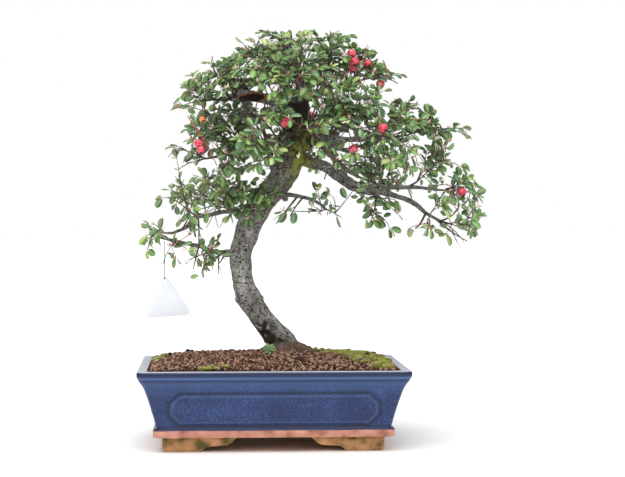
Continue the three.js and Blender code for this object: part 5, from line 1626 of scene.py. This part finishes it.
ends = np.vstack([*[spray.ends for spray in sprays], fill])
k = np.arange(len(ends) * BUDS_EACH)
foot = np.repeat(ends, BUDS_EACH, axis=0) + 0.8 * chances(k, 151)
lean = unit(unit(foot - CROWN_CENTRE) + [0, 0, 0.5] + 1.4 * chances(k, 152))
tip = foot + lean * (4 + 2 * chance(k, 1, 153))[:, None]
bud_lines = np.stack([foot, foot + lean * 2.5, tip], axis=1)
bud_points = tubes(bud_lines, BUD_RADII, 4)[0].reshape(len(k), -1, 3)
kept = within_box(bud_points).all(axis=1) & (chance(k, 2, 154) > 0.35)
bud = Finish("bud_scales", 0.8, specular=0.2)
bud_colour = bud.steps(bud.noise(9, 2), (0.35, 140, 88, 74), (0.48, 196, 164, 140), (0.62, 234, 224, 200))
piece("buds", tubes(bud_lines[kept], BUD_RADII, 4), [bud.done(bud_colour)], "leaf")
print("buds:", int(kept.sum()))

# %% [markdown]
# ## Berries
#
# A cotoneaster berry is a small hard apple: a glossy ball with a dimple and five dried flaps
# at its far end. It hangs on a short stalk from the nearest twig.

# %% Berry shapes
BALL_ROWS, BALL_COLUMNS = 16, 22
FLAPS = 5
STALK_STEPS = 8


def ring_round(axis, turns):
    """Directions at right angles to the axis: cos(turn) and sin(turn) of two sides."""
    side = unit(np.cross(axis, [0.3, 1, 0.2]))
    return np.cos(turns)[:, None] * side + np.sin(turns)[:, None] * np.cross(axis, side)


def skin_of(middle, radius, axis):
    """A ball flattened by 4 percent, with a dimple exp(-(a / 0.35)^2) deep round its far pole,
    and a mark that is 1 at that pole."""
    polar = np.linspace(0.02, np.pi - 0.02, BALL_ROWS)[:, None]
    turns = np.linspace(0, 2 * np.pi, BALL_COLUMNS, endpoint=False)
    far = 1 - 0.24 * bell(polar, 0.35) - 0.06 * bell(np.pi - polar, 0.3)
    points = 0.96 * (far * np.cos(polar))[..., None] * axis
    points = points + (np.sin(polar) * far**0.5)[..., None] * ring_round(axis, turns)
    points = np.vstack([points.reshape(-1, 3), 0.73 * axis, -0.9 * axis])
    faces = [f[:, ::-1] for f in ring_faces(BALL_ROWS, BALL_COLUMNS)]
    pole = np.concatenate([np.repeat(bell(polar[:, 0], 0.42), BALL_COLUMNS), [1, 0]])
    return (middle + points * radius, faces), pole


def flaps_of(middle, radius, axis):
    """Thin pointed flaps that lean inwards round the dimple."""
    ring = ring_round(axis, np.arange(FLAPS) * 2 * np.pi / FLAPS)
    foot = middle + radius * (0.78 * axis + 0.34 * ring)
    tip = middle + radius * (0.99 * axis + 0.12 * ring)
    return tubes(np.stack([foot, tip], axis=1), [0.15 * radius, 0.04 * radius], 4)


def stalk_of(start, end):
    """A stalk that rises a little before it hangs."""
    return tubes(arc(start, (start + end) / 2 + [0, 0, 1.5], end, STALK_STEPS)[None],
                 np.linspace(0.42, 0.5, STALK_STEPS), 6)


print("a berry's skin has", BALL_ROWS * BALL_COLUMNS + 2, "points")

# %% [markdown]
# A ripe berry is red with paler dots and brown round its dimple. Two are still orange and one is
# green, so one recipe takes three colours. The dried flaps are dull brown.


# %% Berry finishes
def berry_finish(name, dark_colour, main_colour, light_colour):
    """A glossy skin whose colour drifts over the berry and darkens at the dimple."""
    berry = Finish(name, 0.22, specular=0.5, coat=0.3, coat_roughness=0.08)
    colour = berry.steps(berry.noise(4, 2), (0.36, *dark_colour), (0.5, *main_colour), (0.66, *light_colour))
    dots = berry.between(berry.noise(0.7, 1), 0.66, 0.74)
    colour = berry.tinted(colour, (dots, 0.35, light_colour), (berry.mark("pole"), 0.8, (70, 36, 28)))
    return berry.done(colour)


SKINS = {
    "red": berry_finish("berry_red", (188, 40, 62), (226, 66, 88), (244, 112, 132)),
    "orange": berry_finish("berry_orange", (186, 62, 40), (216, 100, 52), (238, 158, 84)),
    "green": berry_finish("berry_green", (112, 138, 62), (150, 170, 84), (188, 198, 120)),
}
dried = Finish("dried_flaps", 0.8, specular=0.2)
dried_finish = dried.done(dried.mix(dried.noise(0.8, 2), (48, 32, 24), (92, 64, 44)))
print("berry finishes:", ", ".join(SKINS))

# %% Berries
# Name, colour, the spray it hangs from, and rows of x, y, z, radius
BERRIES = [
    ["berry_front", "red", 24, [[10, -93, 300, 5]]],
    ["berries_top_right", "red", 13, [[74.4, -28, 368.4, 4.2], [77, -29, 360.8, 4.8], [76, -28, 354, 4]]],
    ["berry_open_calyx", "red", 13, [[90, -22, 360, 4]]],
    ["berry_upper_right", "red", 14, [[103, -15, 341, 4.3]]],
    ["berry_orange_right", "orange", 25, [[94, -85, 302, 3.6]]],
    ["berry_right", "red", 25, [[98, -90, 295, 4.8]]],
    ["berry_hanging", "red", 26, [[72.5, -72, 277, 4.2]]],
    ["berry_far_right", "red", 18, [[181, -14, 238.5, 4.6]]],
    ["berry_orange_left", "orange", 7, [[-65, -50, 305, 3.2]]],
    ["berries_left", "red", 7, [[-69, -56, 282.5, 4.1], [-66.8, -57.5, 276.6, 3.8]]],
    ["berry_unripe", "green", 28, [[47, -77, 329, 3.2]]],
    ["berry_back", "red", 34, [[44, 108, 318, 4.6]]],
]
STALK_CHOICES = 20  # places on each twig where a stalk may start
STALK_SUNK = 0.85

for name, look, index, rows in BERRIES:
    twig_places = sprays[index].twigs(STALK_CHOICES).reshape(-1, 3)
    parts, looks, poles = [], [], []
    for *middle, radius in rows:
        start = twig_places[np.linalg.norm(twig_places - middle - [0, 0, 3], axis=1).argmin()]
        axis = unit(unit(middle - start) + [0.2, -0.15, -1.3])
        skin_part, pole = skin_of(middle, radius, axis)
        flaps = flaps_of(middle, radius, axis)
        stalk = stalk_of(start, middle - axis * radius * STALK_SUNK)
        parts += [skin_part, flaps, stalk]
        looks += [0, 0, 1, 1, 2, 2]
        poles += [pole, np.zeros(len(flaps[0]) + len(stalk[0]))]
    fruit = name.replace("berry", "fruit").replace("berries", "fruits")
    piece(fruit, stacked(parts), [SKINS[look], dried_finish, twig_finish], f"berry_{look}", [name],
          looks=looks, marks={"pole": np.concatenate(poles)})
print("berries:", sum(len(rows) for _, _, _, rows in BERRIES))

# %% [markdown]
# A small sprout stands in the granules in front of the trunk: a short stem and a rosette of
# bluish leaves.

# %% Sprout
SPROUT_X, SPROUT_Y = -2.8, -21.4
SPROUT_LEAVES, LOWER_LEAVES = 16, 9
TURN_EACH = 2.4

sprout = np.array([SPROUT_X, SPROUT_Y, soil_height(SPROUT_X, SPROUT_Y)])
k = np.arange(SPROUT_LEAVES)
lower = k < LOWER_LEAVES
turn = k * TURN_EACH
ring = np.column_stack([np.cos(turn), 0.45 * np.sin(turn), 0.75 * np.sin(turn)])
along = unit(ring + np.outer(np.where(lower, 0.3, 0.8), [0, -0.5, 0.8]))
toward_eye = np.array([0, -0.7, 0.7])
up = unit(toward_eye - along * (along @ toward_eye)[:, None])
length = np.where(lower, 5.6, 4.2)
rosette = blades_at(sprout + [0, 0, 4.6] + ring * 0.5, along, up, length, length * 0.62, 0 * turn + 0.25,
                    0 * turn + 0.15)
sprout_stem = tubes([[sprout - [0, 0, 4], sprout, sprout + [0, 0, 3]]], [0.8, 0.7, 0.5], 6)
tints = {"tone": 0.3 + 0.4 * chance(k, 1, 121), "blue": 0 * turn + 0.35}
leafy_piece("sprout", [sprout_stem], rosette, tints, ["ground_sprout"])
print("sprout:", SPROUT_LEAVES, "leaves")

# %% [markdown]
# ## Studio
#
# The tree stands on a white floor in soft light from all round. A large lamp above and to the
# left in front gives the leaves their shine and the trunk its round form; a weaker one on the
# right fills the shade. The world is white, so the pot's rim mirrors it.

# %% Floor and world
FLOOR_HALF = 15  # m
SKY_LIGHT = 0.42  # how much the white surroundings light the tree. To the eye they are plain white
WHITE = (1, 1, 1, 1)

scene = bpy.context.scene
scene.view_settings.view_transform = "Standard"
floor_mesh = bpy.data.meshes.new("floor")
floor_corners = [(x * FLOOR_HALF, y * FLOOR_HALF, 0) for x, y in ((-1, -1), (1, -1), (1, 1), (-1, 1))]
floor_mesh.from_pydata(floor_corners, [], [(0, 1, 2, 3)])
floor = bpy.data.objects.new("floor", floor_mesh)
scene.collection.objects.link(floor)
floor_mesh.materials.append(Finish("pale_floor", 0.9, specular=0.1).done((252, 252, 252)))
floor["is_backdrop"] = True

world = bpy.data.worlds.new("studio")
world.use_nodes = True
background = world.node_tree.nodes["Background"]
background.inputs["Color"].default_value = WHITE
seen = world.node_tree.nodes.new("ShaderNodeLightPath").outputs["Is Camera Ray"]
strength = world.node_tree.nodes.new("ShaderNodeMapRange")
strength.inputs["To Min"].default_value = SKY_LIGHT
world.node_tree.links.new(seen, strength.inputs["Value"])
world.node_tree.links.new(strength.outputs[0], background.inputs["Strength"])
scene.world = world


# %% Lamps
def lamp(name, place, strength, softness):
    """A distant lamp towards the tree from this side. It looks softness degrees wide from there."""
    data = bpy.data.lights.new(name, "SUN")
    data.energy = strength
    data.angle = np.radians(softness)
    made = bpy.data.objects.new(name, data)
    made.location = place
    x, y, z = place
    made.rotation_euler = (np.arctan2(np.hypot(x, y), z), 0, np.arctan2(x, -y))
    scene.collection.objects.link(made)


lamp("key", (-0.35, -0.8, 1.6), 2.4, 60)
lamp("fill", (0.9, -1.4, 0.8), 0.7, 75)
lamp("top", (0.1, 0.2, 1.8), 0.7, 75)
print("lamps:", [light.name for light in bpy.data.lights])

# %% [markdown]
# The dressed tree is made to fit its solid model, so the last cell measures both boxes and prints
# how far they differ.

# %% Sizes and finish
made_box = [list(corner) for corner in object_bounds()]
dressed = [o.data for o in scene.objects if o.type == "MESH" and o.name not in frame["nodes"]]
print("triangles in all:", sum(len(mesh.loops) - 2 * len(mesh.polygons) for mesh in dressed))
for axis, name in enumerate("xyz"):
    beyond = [round((made_box[end][axis] - CAD_BOX[end][axis]) / MM, 2) for end in (0, 1)]
    print(name, beyond, "mm against the solids")
